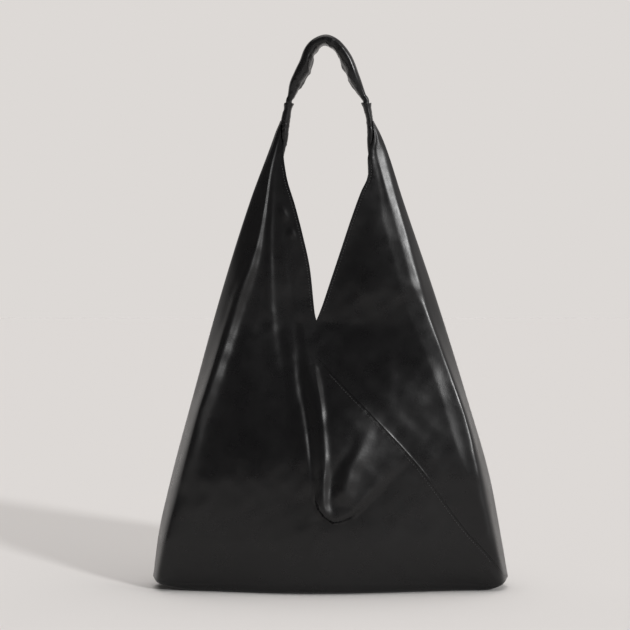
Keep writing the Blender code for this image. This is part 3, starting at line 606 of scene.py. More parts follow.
def beside(line, x, z):
    """Signed distance from a line (positive on its right, going down) and the share of it at that spot."""
    runs = np.diff(line, axis=0)
    before = lengths_to(line)
    nearest = np.full(x.shape, np.inf)
    offset, along = np.zeros(x.shape), np.zeros(x.shape)
    for start, run, length, passed in zip(line, runs, np.linalg.norm(runs, axis=1), before):
        dx, dz = x - start[0], z - start[1]
        t = np.clip((dx * run[0] + dz * run[1]) / length ** 2, 0, 1)
        gap = np.hypot(dx - t * run[0], dz - t * run[1])
        closer = gap < nearest
        nearest = np.where(closer, gap, nearest)
        turn = np.where(dz * run[0] - dx * run[1] > 0, 1, -1)
        offset = np.where(closer, gap * turn, offset)
        along = np.where(closer, (passed + t * length) / before[-1], along)
    return offset, along


def along_curve(points, along):
    """Read a curve along a line, or one value for the whole line."""
    return read_curve(points, along) if np.ndim(points) else np.full(along.shape, float(points))


def fold_relief(fold, line, x, z):
    """Height of one fold in metres at each place. It is worked out only near its line."""
    widths = [np.max(np.atleast_2d(width)[:, -1]) for width in (fold.left, fold.right)]
    wide = FOLD_WIDTHS_KEPT * MM * max(widths + [fold.tail if fold.hollow else 0])
    low, high = line.min(axis=0) - wide, line.max(axis=0) + wide
    near = (x > low[0]) & (x < high[0]) & (z > low[1]) & (z < high[1])
    relief = np.zeros(x.shape)
    offset, along = beside(line, x[near], z[near])
    width = MM * np.where(offset < 0, along_curve(fold.left, along), along_curve(fold.right, along))
    shape = bell(offset, width)
    sunk = fold.hollow * (shape - bell(offset, MM * fold.tail))
    relief[near] = MM * along_curve(fold.height, along) * (shape + np.where(offset > 0, sunk, 0))
    return relief


def drape_relief(x, z):
    """The loose leather under the mouth: it stands out along its left edge and ends below in a round lip."""
    beyond = x - read_curve(DRAPE_EDGE_LINE, z)
    out = beyond / (read_curve(DRAPE_FLANK, z / MM) * MM)
    above = (z - read_curve(DRAPE_LIP_LINE, x)) / (read_curve(DRAPE_ROUND, x / MM) * MM)
    lip = np.sqrt(1 - (1 - np.clip(above, 0, 1)) ** DRAPE_LIP_POWER)
    return MM * read_curve(DRAPE_LIFT, z / MM) * ease(out) * lip * bell(beyond, DRAPE_FADE)


def sway(x, z, seed, longest, shortest, height):
    """A gentle uneven surface: waves of seeded directions and lengths."""
    draw = np.random.default_rng(seed)
    relief = np.zeros(np.broadcast(x, z).shape)
    for _ in range(WAVES):
        length = shortest * (longest / shortest) ** draw.random()
        angle, phase = draw.random(2) * math.tau
        wave = (x * math.cos(angle) + z * math.sin(angle)) * math.tau / length + phase
        relief += np.sin(wave) * height * (length / longest) / math.sqrt(WAVES)
    return relief


def seam_height(reach, inset=0):
    corner = CORNER_LIFT + inset
    return corner + (SEAM_TOP - corner) * read_curve(SEAM_SHARES, reach)


def seam_line(side):
    """The diagonal seam on one half of a face, from under the mouth to the corner, as x and z."""
    reach = np.linspace(1, 0, SEAM_SPOTS)
    z = seam_height(reach)
    fold = fold_x(side, z)
    return np.stack([fold + reach * (mouth_x(side, z) - fold), z], axis=1)


DRAPE_EDGE_LINE = sorted(front_place(*spot)[::-1] for spot in DRAPE_EDGE)
DRAPE_LIP_LINE = sorted(front_place(*spot) for spot in DRAPE_LIP)
SEAM_LINES = {side: seam_line(side) for side in (LEFT, RIGHT)}
FOLDS = {FRONT: [(fold, smooth_line([front_place(*spot) for spot in fold.line])) for fold in FRONT_FOLDS],
         BACK: [(fold, smooth_line(np.array(fold.line) * MM)) for fold in BACK_FOLDS]}


def thread_pull(along, pitch, drift, turn):
    """How a thread pulls, from -1 to 1, by length along it: once a pitch, unevenly over each drift."""
    return np.sin(along / pitch * math.tau + turn * np.sin(along / drift * math.tau))


def seam_relief(face, x, z):
    """A sewn seam: a fine groove, and on the piece below it the small puckers that the thread pulls in."""
    line = SEAM_LINES[-face]
    offset, along = beside(line, x, z)
    out, below = np.abs(offset), offset * face > 0
    groove = SEAM_GROOVE * read_line(SEAM_GROOVE_SHARES, along) * bell(out, SEAM_GROOVE_WIDTH)
    edge = SEAM_EDGE * read_line(SEAM_EDGE_SHARES, along) * bell(out - SEAM_EDGE_REACH, SEAM_EDGE_WIDTH)
    pucker = np.where(below, PUCKER_BELOW * bell(out, PUCKER_BELOW_WIDTH),
                      PUCKER_ABOVE * bell(out, PUCKER_ABOVE_WIDTH))
    pull = thread_pull(along * lengths_to(line)[-1], *SEAM_PULL)
    return np.where(below, 0, edge - groove) + pucker * pull * read_line(SEAM_PULL_SHARES, along)


def hem_relief(side, x, z):
    """The turned edge along the mouth: a double thickness that ends just past the stitches."""
    slope = (mouth_x(side, z + MM) - mouth_x(side, z - MM)) / (2 * MM)
    out = np.abs(x - mouth_x(side, z)) / np.sqrt(1 + slope ** 2)
    above = ease((z - MOUTH_BOTTOM) / HEM_FOOT_RUN) * (1 - ease((z - SLEEVE_FOOT) / HEM_HEAD_RUN))
    thick = HEM * (1 - ease((out - HEM_REACH) / HEM_SLOPE))
    groove = HEM_GROOVE * bell(out - STITCH_REACH, HEM_GROOVE_WIDTH)
    pucker = HEM_PUCKER * thread_pull(z, *HEM_PULL) * bell(out - HEM_PUCKER_REACH, HEM_PUCKER_WIDTH)
    return above * (thick - groove + pucker)


def relief(side, face, x, z):
    """How far the leather stands out from the plain wall, in metres."""
    span = np.abs(mouth_x(side, z) - fold_x(side, z))
    out = np.abs(x - fold_x(side, z))
    total = drape_relief(x, z) if face == FRONT else np.zeros(x.shape)
    for fold, line in FOLDS[face]:
        total += fold_relief(fold, line, x, z)
    ripple = sum(sway(x, z, seed + face, *waves) for seed, *waves in RIPPLES) + RIPPLE_LIFT
    total += ripple * np.clip(span / CALM_SPAN, 0, 1)
    total *= ease(out / np.minimum(FOLD_FADE, span / 2))
    total += hem_relief(side, x, z)
    total = SINK * np.logaddexp(0, total / SINK) - LEAST_SINK
    total += seam_relief(face, x, z)
    return total * ease((z - FOOT_FADE_START) / FOOT_FADE)


def crowded(count, spots):
    """Shares from 0 to 1 that lie closer together near each (place, width, crowding)."""
    fine = np.linspace(0, 1, CROWD_STEPS + 1)
    density = 1 + sum(crowding * bell(fine - place, width) for place, width, crowding in spots)
    passed = np.concatenate(([0], np.cumsum((density[1:] + density[:-1]) / 2)))
    return np.interp(np.linspace(0, 1, count + 1), passed / passed[-1], fine)


def wall_block(side, face, reaches, rows, inset, home_face=0):
    """Points of one quarter of a layer. Rows hold shares: under, round the edge, up to the seam, above it."""
    reach = np.broadcast_to(reaches, (len(rows), np.shape(reaches)[-1]))
    under, roll, climb, rise = (np.array(part)[:, None] for part in zip(*rows))
    low = CORNER_LIFT * np.maximum(0, 1 - reach / CORNER_RUN_SHARE[side]) ** CORNER_SHARPNESS + inset
    radius = (EDGE_RADIUS - inset) * (1 + EDGE_GROWTH_SHARE) * reach / (reach + EDGE_GROWTH_SHARE)
    half_gap = SEAM_GAP / 2 * ease(reach / SEAM_OPENING_SHARE)
    seam = seam_height(reach, inset)
    if home_face:
        seam = seam + half_gap * (-1 if face == home_face else 1)
    edge_top = low + radius
    z = edge_top - radius * np.cos(QUARTER * roll) + (seam - edge_top) * climb + (WING_TOP - seam) * rise
    flat = wall_depth(side, edge_top, reach, inset) - radius
    bottom = np.maximum(flat, 0) * under + radius * np.sin(QUARTER * roll)
    y = np.where(climb > 0, wall_depth(side, z, reach, inset), bottom)
    if home_face and home_face == -side:
        y = np.maximum(y, half_gap)
    fold = fold_x(side, z) - side * inset
    parting = side * SEAM_GAP / 2 * ease((z - MOUTH_BOTTOM) / PARTING_RUN)
    x = fold + reach * (mouth_x(side, z) + parting - fold)
    y = y + drape_swell(face, x, z)
    if inset == 0:
        y = y + relief(side, face, x, z)
        skive = SKIVE * ease((z - WING_TOP) / SKIVE_RUN + 1)
        x, y = x - side * skive * np.cos(QUARTER * reach), y - skive * np.sin(QUARTER * reach)
    return np.stack([x, face * y, z], axis=-1)


def lower_rows(under=UNDER_STEPS, roll=ROLL_STEPS, climb=CLIMB_STEPS, top=1.0):
    """Rows from the middle of the underside, round the bottom edge and up to the seam."""
    rows = [(i / under, 0, 0, 0) for i in range(under)]
    rows += [(1, i / roll, 0, 0) for i in range(roll)]
    return rows + [(1, 1, top * share, 0) for share in crowded(climb, CLIMB_SPOTS)]


def upper_rows():
    """Rows from the seam to the wing's top, one of them at the lowest point of the mouth."""
    mouth = (MOUTH_BOTTOM - SEAM_TOP) / (WING_TOP - SEAM_TOP)
    rises = [mouth * share for share in crowded(NECK_STEPS, NECK_SPOTS)[:-1]]
    rises += [mouth + (1 - mouth) * i / WING_STEPS for i in range(WING_STEPS + 1)]
    return [(1, 1, 1, rise) for rise in rises]


class Shell:
    """Collects blocks of a closed skin: a fine outer grid, a coarse inner one and the rims between."""

    # Each edge of a block: its row and column, and whether its rim faces the other way
    EDGES = {"foot": (0, slice(None), True), "head": (-1, slice(None), False),
             "fold": (slice(None), 0, False), "mouth": (slice(None), -1, True)}

    def __init__(self):
        self.points = []
        self.faces = []

    def add_faces(self, faces, flip):
        self.faces += [face[::-1] for face in faces] if flip else faces

    def add_grid(self, points, flip):
        """Add points in rows and columns with the faces between them. Returns the points' numbers."""
        start = sum(map(len, self.points))
        self.points.append(points.reshape(-1, 3))
        ids = start + np.arange(len(self.points[-1])).reshape(points.shape[:-1])
        quads = np.stack([ids[:-1, 1:], ids[1:, 1:], ids[1:, :-1], ids[:-1, :-1]], axis=-1)
        self.add_faces(quads.reshape(-1, 4).tolist(), flip)
        return ids

    def add_block(self, outer, inner, flip, open_sides, skip):
        """Rows run up and columns run in. An open side gets a rim, whose faces each span a coarse step."""
        fine, coarse = self.add_grid(outer, flip), self.add_grid(inner, not flip)
        for row, column, turned in map(self.EDGES.get, open_sides):
            far, near = fine[row, column].tolist(), coarse[row, column].tolist()
            rims = [far[i * skip:(i + 1) * skip + 1] + [near[i + 1], near[i]] for i in range(len(near) - 1)]
            self.add_faces(rims, flip != turned)

    def build(self, name, material):
        return add_piece(name, np.concatenate(self.points), self.faces, material)


def add_piece(name, points, faces, material, sharp=SHARP, merge=MERGE):
    """One object from points and faces, its coincident points merged."""
    data = bpy.data.meshes.new(name)
    data.from_pydata(np.asarray(points, float).tolist(), [], faces)
    if merge:
        mesh = bmesh.new()
        mesh.from_mesh(data)
        bmesh.ops.remove_doubles(mesh, verts=mesh.verts, dist=merge)
        bmesh.ops.dissolve_degenerate(mesh, edges=mesh.edges, dist=merge)
        mesh.to_mesh(data)
        mesh.free()
    data.shade_smooth()
    data.set_sharp_from_angle(angle=math.radians(sharp))
    data.materials.append(material)
    piece = bpy.data.objects.new(name, data)
    bpy.context.scene.collection.objects.link(piece)
    return piece


def finish_piece(piece, body, slot, *nodes):
    """Let a piece ride on its body and stand for the CAD nodes. Its slot is not used."""
    if body:
        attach(piece, body)
    if nodes:
        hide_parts(*nodes)
    return piece


def turn_with_handle(piece):
    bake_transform(piece)


def leather_panel(home_side, home_face, material):
    """One folded leather piece: its own wing all round, and the other half of its face under the seam."""
    low_rows, high_rows = lower_rows(), upper_rows()
    shell = Shell()
    parts = ((home_side, home_face, low_rows, ("foot",)), (-home_side, home_face, low_rows, ("foot", "head")),
             (home_side, home_face, high_rows, ("mouth", "head")),
             (home_side, -home_face, high_rows, ("mouth", "head", "foot")))
    for side, face, rows, open_sides in parts:
        reaches = crowded(COLUMN_STEPS, COLUMN_SPOTS[side])
        outer = wall_block(side, face, reaches, rows, 0, home_face)
        inner = wall_block(side, face, reaches[::SKIP], rows[::SKIP], LEATHER, home_face)
        shell.add_block(outer, inner, side != face, open_sides, SKIP)
    name = FACE_NAMES[home_face]
    return finish_piece(shell.build(f"panel_{name}", material), "bag", "black_leather", f"{name}_panel")


def facing_turn(side, rise):
    """Angle of the facing's outer edge on a row, as in the part's source."""
    height = np.maximum(MOUTH_BOTTOM, SEAM_TOP + (WING_TOP - SEAM_TOP) * rise)
    span = np.abs(fold_x(side, height) - mouth_x(side, height))
    return np.arccos(1 - np.maximum(LEAST_FACING_SHARE, 1 - FACING_WIDTH / span))


def inner_reaches(side, rows, shares, beyond):
    """Columns of an inner layer: shares up to the facing's edge, or beyond it to the mouth."""
    turn = facing_turn(side, np.array([row[3] for row in rows]))[:, None]
    return 1 - np.cos(turn + (QUARTER - turn) * shares if beyond else turn * shares)


def inner_layer(place, kind, face, inset, thickness, parts, material, slot, height, longest, seed):
    """A facing or a lining: its fine grid is the face that looks into the bag, with its own soft creases."""
    shell = Shell()
    for side, rows, shares, beyond, open_sides in parts:
        hidden = wall_block(side, face, inner_reaches(side, rows[::2], shares[::2], beyond), rows[::2], inset)
        shown = wall_block(side, face, inner_reaches(side, rows, shares, beyond), rows, inset + thickness)
        ripple = sway(shown[..., 0], shown[..., 2], seed + face, longest, longest / CREASE_RANGE, height)
        still = ease(np.abs(shown[..., 1]) / CREASE_FADE)
        shown[..., 1] -= face * np.maximum(ripple + CREASE_LIFT_SHARE * height, 0) * still
        shell.add_block(shown, hidden, side == face, open_sides, 2)
    node = f"{kind}_{FACE_NAMES[face]}"
    return finish_piece(shell.build(f"{place}_{node}", material), "bag", slot, node)


def facing_rows(low_steps, high_steps):
    """Rows along the height of the facing, under the mouth's seam and beside the mouth."""
    top = (FACING_TOP - SEAM_TOP) / (WING_TOP - SEAM_TOP)
    rows = [(1, 1, share, 0) for share in np.linspace(FACING_FOOT_SHARE, 1, low_steps + 1)[:-1]]
    return rows + [(1, 1, 1, share) for share in np.linspace(0, top, high_steps + 1)]


def facing_strip(face, material):
    """Leather turned in along one V of the mouth, from below its lowest point nearly up to the sleeves."""
    rows, shares = facing_rows(*FACING_STEPS), np.linspace(0, 1, FACING_COLUMNS + 1)
    parts = [(side, rows, shares, True, Shell.EDGES) for side in (LEFT, RIGHT)]
    return inner_layer("mouth", "facing", face, FACING_INSET, FACING, parts, material, "black_leather",
                       *FACING_CREASES)


def lining_half(face, material):
    """Cloth inside one face, from the middle of the base up to the facing."""
    low_rows = lower_rows(*LINING_LOW_STEPS, FACING_FOOT_SHARE)
    high_rows = facing_rows(*LINING_HIGH_STEPS)
    wide, narrow = np.linspace(0, 1, LINING_COLUMNS + 1), np.linspace(0, 1, FACING_COLUMNS + 1)
    parts = []
    for side in (LEFT, RIGHT):
        parts.append((side, low_rows, wide, False, ("foot", "fold")))
        parts.append((side, low_rows, narrow, True, ("foot", "head")))
        parts.append((side, high_rows, wide, False, ("head", "mouth", "fold")))
    return inner_layer("cloth", "lining", face, LINING_INSET, LINING, parts, material, "black_lining",
                       *LINING_CREASES)


def slip_pocket(material):
    """A flat patch on the back lining with a hemmed top edge that gapes a little."""
    across = np.linspace(-0.5, 0.5, POCKET_COLUMNS + 1)
    up = np.linspace(0, 1, POCKET_ROWS + 1)[:, None]
    x = MOUTH_X + POCKET_WIDTH * across + 0 * up
    z = POCKET_BOTTOM + POCKET_HEIGHT * up + 0 * across
    right, left = (wall_depth(side, z, reach_of(side, x, z), POCKET_INSET) for side in (RIGHT, LEFT))
    front = np.where(x > MOUTH_X, right, left) - POCKET_GAPE * np.cos(np.pi * across) * up ** 2
    crease = sway(x, z, *POCKET_CREASES)
    hem = POCKET_HEM * ease((up - POCKET_HEM_SHARE) / POCKET_HEM_RUN_SHARE)
    shown = np.stack([x, front - POCKET_CLOTH - hem + crease, z], axis=-1)
    hidden = np.stack([x, front + np.minimum(crease, 0), z], axis=-1)[::SKIP, ::SKIP]
    shell = Shell()
    shell.add_block(shown[:, ::-1], hidden[:, ::-1], True, Shell.EDGES, SKIP)
    return finish_piece(shell.build("pocket_patch", material), "bag", "black_lining", "slip_pocket")


def tube_faces(ids, wrap=False):
    """Faces round rows of points: capped at both ends, or joined end to end."""
    rings = np.concatenate((ids, ids[:1])) if wrap else ids
    rings = np.concatenate((rings, rings[:, :1]), axis=1)
    faces = np.stack([rings[:-1, :-1], rings[:-1, 1:], rings[1:, 1:], rings[1:, :-1]], axis=-1)
    caps = [] if wrap else [ids[0, ::-1].tolist(), ids[-1].tolist()]
    return faces.reshape(-1, 4).tolist() + caps


def tube_piece(name, rings, material, wrap=False, sharp=SHARP):
    """A body through rings of equal count, capped at both ends or wrapped round."""
    points = rings.reshape(-1, 3)
    ids = np.arange(len(points)).reshape(rings.shape[:2])
    return add_piece(name, points, tube_faces(ids, wrap), material, sharp)


def level_rings(x, heights, across, deep, angles):
    """Level ovals, one a height, as points counted anticlockwise from above."""
    z = np.array(heights)[:, None] + 0 * angles
    rings = np.stack([np.array(x)[:, None] + across * np.cos(angles), deep * np.sin(angles) + 0 * z, z])
    return np.moveaxis(rings, 0, -1)


def sleeve_creases(side, angles, column):
    """Short uneven creases round a rolled sleeve."""
    draw = np.random.default_rng(SLEEVE_SEED + side)
    relief = np.zeros((len(column), len(angles)))
    for _ in range(SLEEVE_CREASES):
        place, turn = draw.uniform(SLEEVE_FOOT, SLEEVE_TOP - CREASE_END), draw.uniform(0, math.tau)
        tilt, wide = draw.uniform(-CREASE_TILT, CREASE_TILT), draw.uniform(*CREASE_WIDTHS)
        lobe = np.clip(np.cos(angles - turn), 0, 1) ** CREASE_POWER
        away = column - place - tilt * np.sin(angles - turn)
        relief += draw.uniform(*CREASE_HEIGHTS) * lobe * bell(away, wide)
    return relief


def sleeve(side, material):
    """Rolled tip of a wing: creased leather with a flared, uneven top and the bore for the handle."""
    angles = round_angles(SLEEVE_SIDES)
    heights = np.linspace(SLEEVE_FOOT - TAPER, SLEEVE_TOP, SLEEVE_STEPS + 1)
    column = heights[:, None]
    taper = TAPER_SHARE * ease((column - SLEEVE_FOOT) / TAPER + 1)
    taper = taper + (1 - TAPER_SHARE) * ease((column - SLEEVE_FOOT) / TAPER)
    overlap = OVERLAP * ease(np.sin(angles - OVERLAP_TURN[side]) * OVERLAP_EDGE)
    out = FLARE * ease((column - SLEEVE_TOP) / FLARE_RUN + 1) ** 2
    out = out + overlap / 2 * ease((column - SLEEVE_FOOT) / OVERLAP_RUN)
    out = out + sleeve_creases(side, angles, column)
    pinch = SLEEVE_PINCH[side] * ease((SLEEVE_FOOT + PINCH_RUN - heights) / PINCH_RUN)
    across = ((sleeve_half_width(side, heights) - pinch)[:, None] + out) * taper
    deep = (sleeve_half_depth(heights)[:, None] + out) * taper
    outer = level_rings(sleeve_x(side, heights) + side * pinch, heights, across, deep, angles)
    waves = [part * np.sin(count * angles + phase) for part, count, phase in RAGGED_WAVES[side]]
    ragged = RAGGED * sum(waves)
    outer[..., 2] += ragged * ease((column - SLEEVE_TOP) / RAGGED_RUN + 1)
    drops, walls = (np.array(part)[:, None] for part in zip(*BORE_RINGS))
    bore_across, bore_deep = (np.where(walls > 0, size[-1] - walls, BORE_RADIUS) for size in (across, deep))
    depths = SLEEVE_TOP - drops[:, 0]
    inner = level_rings(sleeve_x(side, depths), depths, bore_across, bore_deep, angles)
    inner[0, :, 2] += ragged
    top = heights[-1:]
    lip = level_rings(sleeve_x(side, top), top, across[-1] - LIP_ROUND, deep[-1] - LIP_ROUND, angles)
    lip[..., 2] += ragged + LIP_RISE
    piece = tube_piece(f"rolled_sleeve_{SIDE_NAMES[side]}", np.concatenate((outer, lip, inner)), material)
    return finish_piece(piece, "bag", "black_leather", f"sleeve_{SIDE_NAMES[side]}")


ARCH = [(HANDLE_X + HANDLE_SPAN * (u - 0.5), PIVOT_Z + HANDLE_RISE * v) for u, v in ARCH_SHARES]
ARCH_LENGTH = lengths_to(ARCH)[-1]


def handle_line(count):
    """Middle line from inside the left sleeve, over the arch, to inside the right one, as x and z, and the
    place of each point as a share of the arch's length."""
    drop = np.linspace(COVER_FOOT, PIVOT_Z, DROP_SPOTS)[:-1]
    left, right = (np.stack([sleeve_x(side, drop), drop], axis=1) for side in (LEFT, RIGHT))
    route = np.concatenate((left, smooth_line(ARCH, ARCH_SPOTS), right[::-1]))
    at = np.linspace(0, lengths_to(route)[-1], count)
    line = points_at(route, at)
    before, after = line[SMOOTHING:0:-1], line[-2:-SMOOTHING - 2:-1]
    padded = np.concatenate((2 * line[:1] - before, line, 2 * line[-1:] - after))
    kernel = np.hanning(2 * SMOOTHING + 1)
    smooth = [np.convolve(padded[:, i], kernel / kernel.sum(), "valid") for i in (0, 1)]
    return np.stack(smooth, axis=1), (at - (PIVOT_Z - COVER_FOOT)) / ARCH_LENGTH


def inner_strap(side, material):
    """The strap inside a sleeve. It bends with the handle over the sleeve's top."""
    low = np.linspace(SLEEVE_TOP - BORE_DEPTH + CLEARANCE, COVER_FOOT - STRAP_JOIN, STRAP_SPOTS)
    line, along = handle_line(STRAP_LINE_SPOTS)
    upper = line[along < STRAP_SHARE] if side == LEFT else line[along > 1 - STRAP_SHARE][::-1]
    route = np.concatenate((np.stack([sleeve_x(side, low), low], axis=1), upper))
    radius = np.full((len(route), 1), STRAP_RADIUS - CLEARANCE)
    rings = tube_rings(route, radius, radius, round_angles(STRAP_SIDES))
    piece = tube_piece(f"strap_cord_{SIDE_NAMES[side]}", rings, material)
    turn_with_handle(piece)
    return finish_piece(piece, None, "black_leather", f"strap_end_{SIDE_NAMES[side]}")


def gathers(along, angles, seed, count, tall, broad):
    """Ruched leather: short uneven folds across the tube, deep on its inner side."""
    draw = np.random.default_rng(seed)
    relief = np.zeros((len(along), len(angles)))
    place = along[:, None] * ARCH_LENGTH
    step = (1 - 2 * GATHER_END_SHARE) / count
    for i in range(count):
        centre = ARCH_LENGTH * (GATHER_END_SHARE + step * (i + draw.uniform(*GATHER_SHIFTS)))
        turn = math.pi + draw.uniform(*GATHER_TURNS)
        tilt, wide = draw.uniform(*GATHER_TILTS) * broad, draw.uniform(*GATHER_WIDTHS) * broad
        lobe = np.clip(np.cos((angles - turn) / GATHER_SPREAD), 0, 1) ** 2
        lobe = LEAST_GATHER_SHARE + (1 - LEAST_GATHER_SHARE) * lobe
        bend = (place - centre - tilt * np.sin(angles - turn)) / wide
        relief += draw.uniform(*GATHER_HEIGHTS) * tall * lobe * bell(bend, 1)
        relief -= draw.uniform(*GATHER_DIPS) * tall * lobe * bell(bend - GATHER_HOLLOW, 1)
    return relief


def tube_rings(line, half_thickness, half_width, angles, lean=None):
    """Ovals square to a line in the plane of the picture. Angle 0 is the handle's outer side. With a lean,
    the inner side is flat and its back edge hangs lower than its front edge by that share."""
    tangent = unit(np.gradient(line, axis=0))
    normal = np.stack([-tangent[:, 1], tangent[:, 0]], axis=1)
    power = 1 if lean is None else np.where(np.cos(angles) > 0, OUTER_POWER, INNER_POWER)
    level = np.sign(np.cos(angles)) * np.abs(np.cos(angles)) ** power
    if lean is not None:
        level = level * (1 - np.where(level < 0, lean * np.sin(angles), 0))
    x, z = (line[:, i:i + 1] + normal[:, i:i + 1] * half_thickness * level for i in (0, 1))
    y = -half_width * np.sign(np.sin(angles)) * np.abs(np.sin(angles)) ** power
    return np.stack([x, y + 0 * x, z], axis=-1)


def handle_sizes(along):
    """Half thickness and half width of the handle."""
    return (HANDLE_HALF_THICKNESS * read_curve(THICKNESS_SHARES, along)[:, None],
            HANDLE_HALF_WIDTH * read_curve(WIDTH_SHARES, along)[:, None])


def handle_cover(material):
    """The gathered leather tube, from inside one sleeve to inside the other."""
    line, along = handle_line(COVER_STEPS)
    angles = round_angles(COVER_SIDES)
    thick, wide = map(np.maximum, handle_sizes(along), NECK_HALF_SIZES)
    ruche = sum(gathers(along, angles, *gather) for gather in GATHERS)
    ruche = ruche * ease(np.minimum(along, 1 - along) / GATHER_FADE_SHARE + GATHER_FOOT_SHARE)[:, None]
    turn = INNER_LEAN * read_line(INNER_TURNS, along)[:, None]
    out = ruche - GATHER_SINK
    outer = tube_rings(line, thick + out, wide + out, angles, turn)
    inner = tube_rings(line, thick - COVER, wide - COVER, angles)[::-1]
    rings = np.concatenate((outer, inner[::SKIP], inner[-1:]))
    piece = tube_piece("gathered_cover", rings, material, wrap=True)
    turn_with_handle(piece)
    return finish_piece(piece, None, "black_leather", "handle_cover")


def handle_padding(material):
    """The soft filling inside the gathered cover."""
    line, along = handle_line(PADDING_STEPS)
    away = np.minimum(along, 1 - along) - PADDING_START_SHARE
    kept = away > 0
    ends = np.sqrt(np.clip(away[kept] / PADDING_ROUND_SHARE, LEAST_PADDING_SHARE, 1))[:, None]
    thick, wide = (np.maximum(size - 2 * COVER, MM) * ends for size in handle_sizes(along[kept]))
    rings = tube_rings(line[kept], thick, wide, round_angles(PADDING_SIDES))
    piece = tube_piece("handle_padding", rings, material)
    turn_with_handle(piece)
    return finish_piece(piece, None, "black_leather", "handle_core")


def snap_half(face, material):
    """A turned metal disc with a stepped rim. The back one has the raised stud."""
    foot = EDGE_RADIUS + (SEAM_TOP - EDGE_RADIUS) * FACING_FOOT_SHARE
    heights = np.array([foot, SEAM_TOP])
    depths = half_depth(heights, FACING_INSET + FACING)
    up = Vector((0, face * (depths[1] - depths[0]), heights[1] - heights[0])).normalized()
    inward = Vector((0, up.z, -up.y)) * -face
    seat = Vector((MOUTH_X, face * depths.mean(), heights.mean())) + inward * SNAP_SEAT
    radii, levels = MM * np.array(SNAP_RIM + SNAP_MIDDLES[face]).T[..., None]
    angles = round_angles(SNAP_SIDES)
    rings = np.stack([radii * np.cos(angles), radii * np.sin(angles), levels + 0 * angles], axis=-1)
    turn = np.array(inward.to_track_quat("Z", "X").to_matrix())
    name = "stud" if face == BACK else "socket"
    piece = tube_piece(f"magnet_{name}", rings @ turn.T + np.array(seat), material, sharp=SNAP_SHARP)
    return finish_piece(piece, "bag", "dark_steel", f"snap_{name}")


def surface_point(side, face, x, z):
    """A place on the leather's outer face."""
    wall = wall_depth(side, z, reach_of(side, x, z), 0) + drape_swell(face, x, z)
    return np.stack([x, face * (wall + relief(side, face, x, z)), z], axis=-1)


def stitch_row(name, side, face, line, material):
    """Single stitches along a line of x and z on the leather, each a short thread that dips at both ends."""
    centres = np.arange(STITCH_PITCH, lengths_to(line)[-1] - STITCH_PITCH, STITCH_PITCH)
    shares = np.linspace(-0.5, 0.5, STITCH_RINGS)
    x, z = points_at(line, (centres[:, None] + shares * STITCH_LENGTH).ravel()).T
    places = surface_point(side, face, x, z)
    ahead = surface_point(side, face, x + STITCH_NUDGE, z) - places
    above = surface_point(side, face, x, z + STITCH_NUDGE) - places
    normal = unit(np.cross(ahead, above))
    normal *= face * np.sign(normal[:, 1:2])
    run = unit(np.gradient(places.reshape(-1, STITCH_RINGS, 3), axis=1)).reshape(-1, 3)
    away = np.tile(np.abs(shares) * 2, len(centres))[:, None]
    radius = (1 - STITCH_THINNING * away ** 3) * STITCH_RADIUS
    centre = places + normal * (STITCH_LIFT - STITCH_DIP * away ** 4)
    angles = round_angles(STITCH_SIDES)[:, None]
    round_it = np.cos(angles) * np.cross(run, normal)[:, None] + np.sin(angles) * normal[:, None]
    points = (centre[:, None] + radius[:, None] * round_it).reshape(-1, 3)
    ids = np.arange(len(points)).reshape(-1, STITCH_RINGS, STITCH_SIDES)
    faces = sum(map(tube_faces, ids), [])
    piece = add_piece(name, points, faces, material, sharp=STITCH_SHARP, merge=0)
    return finish_piece(piece, "bag", "black_leather")


def mouth_stitch_line(side):
    """The line of stitches along one edge of the mouth, at the hem's width from it."""
    z = np.linspace(MOUTH_BOTTOM + STITCH_START, SLEEVE_FOOT - STITCH_END, MOUTH_SPOTS)
    slope = np.gradient(mouth_x(side, z), z)
    return np.stack([mouth_x(side, z) + side * STITCH_REACH * np.sqrt(1 + slope ** 2), z], axis=1)


def seam_stitch_line(side):
    """Stitches beside the diagonal seam, between two shares of its length."""
    line = SEAM_LINES[side]
    first, last = (int(share * (len(line) - 1)) for share in SEAM_STITCH_SHARES)
    line = line[first:last + 1]
    run = unit(np.gradient(line, axis=0))
    return line + SEAM_STITCH_REACH * np.stack([run[:, 1], -run[:, 0]], axis=1)


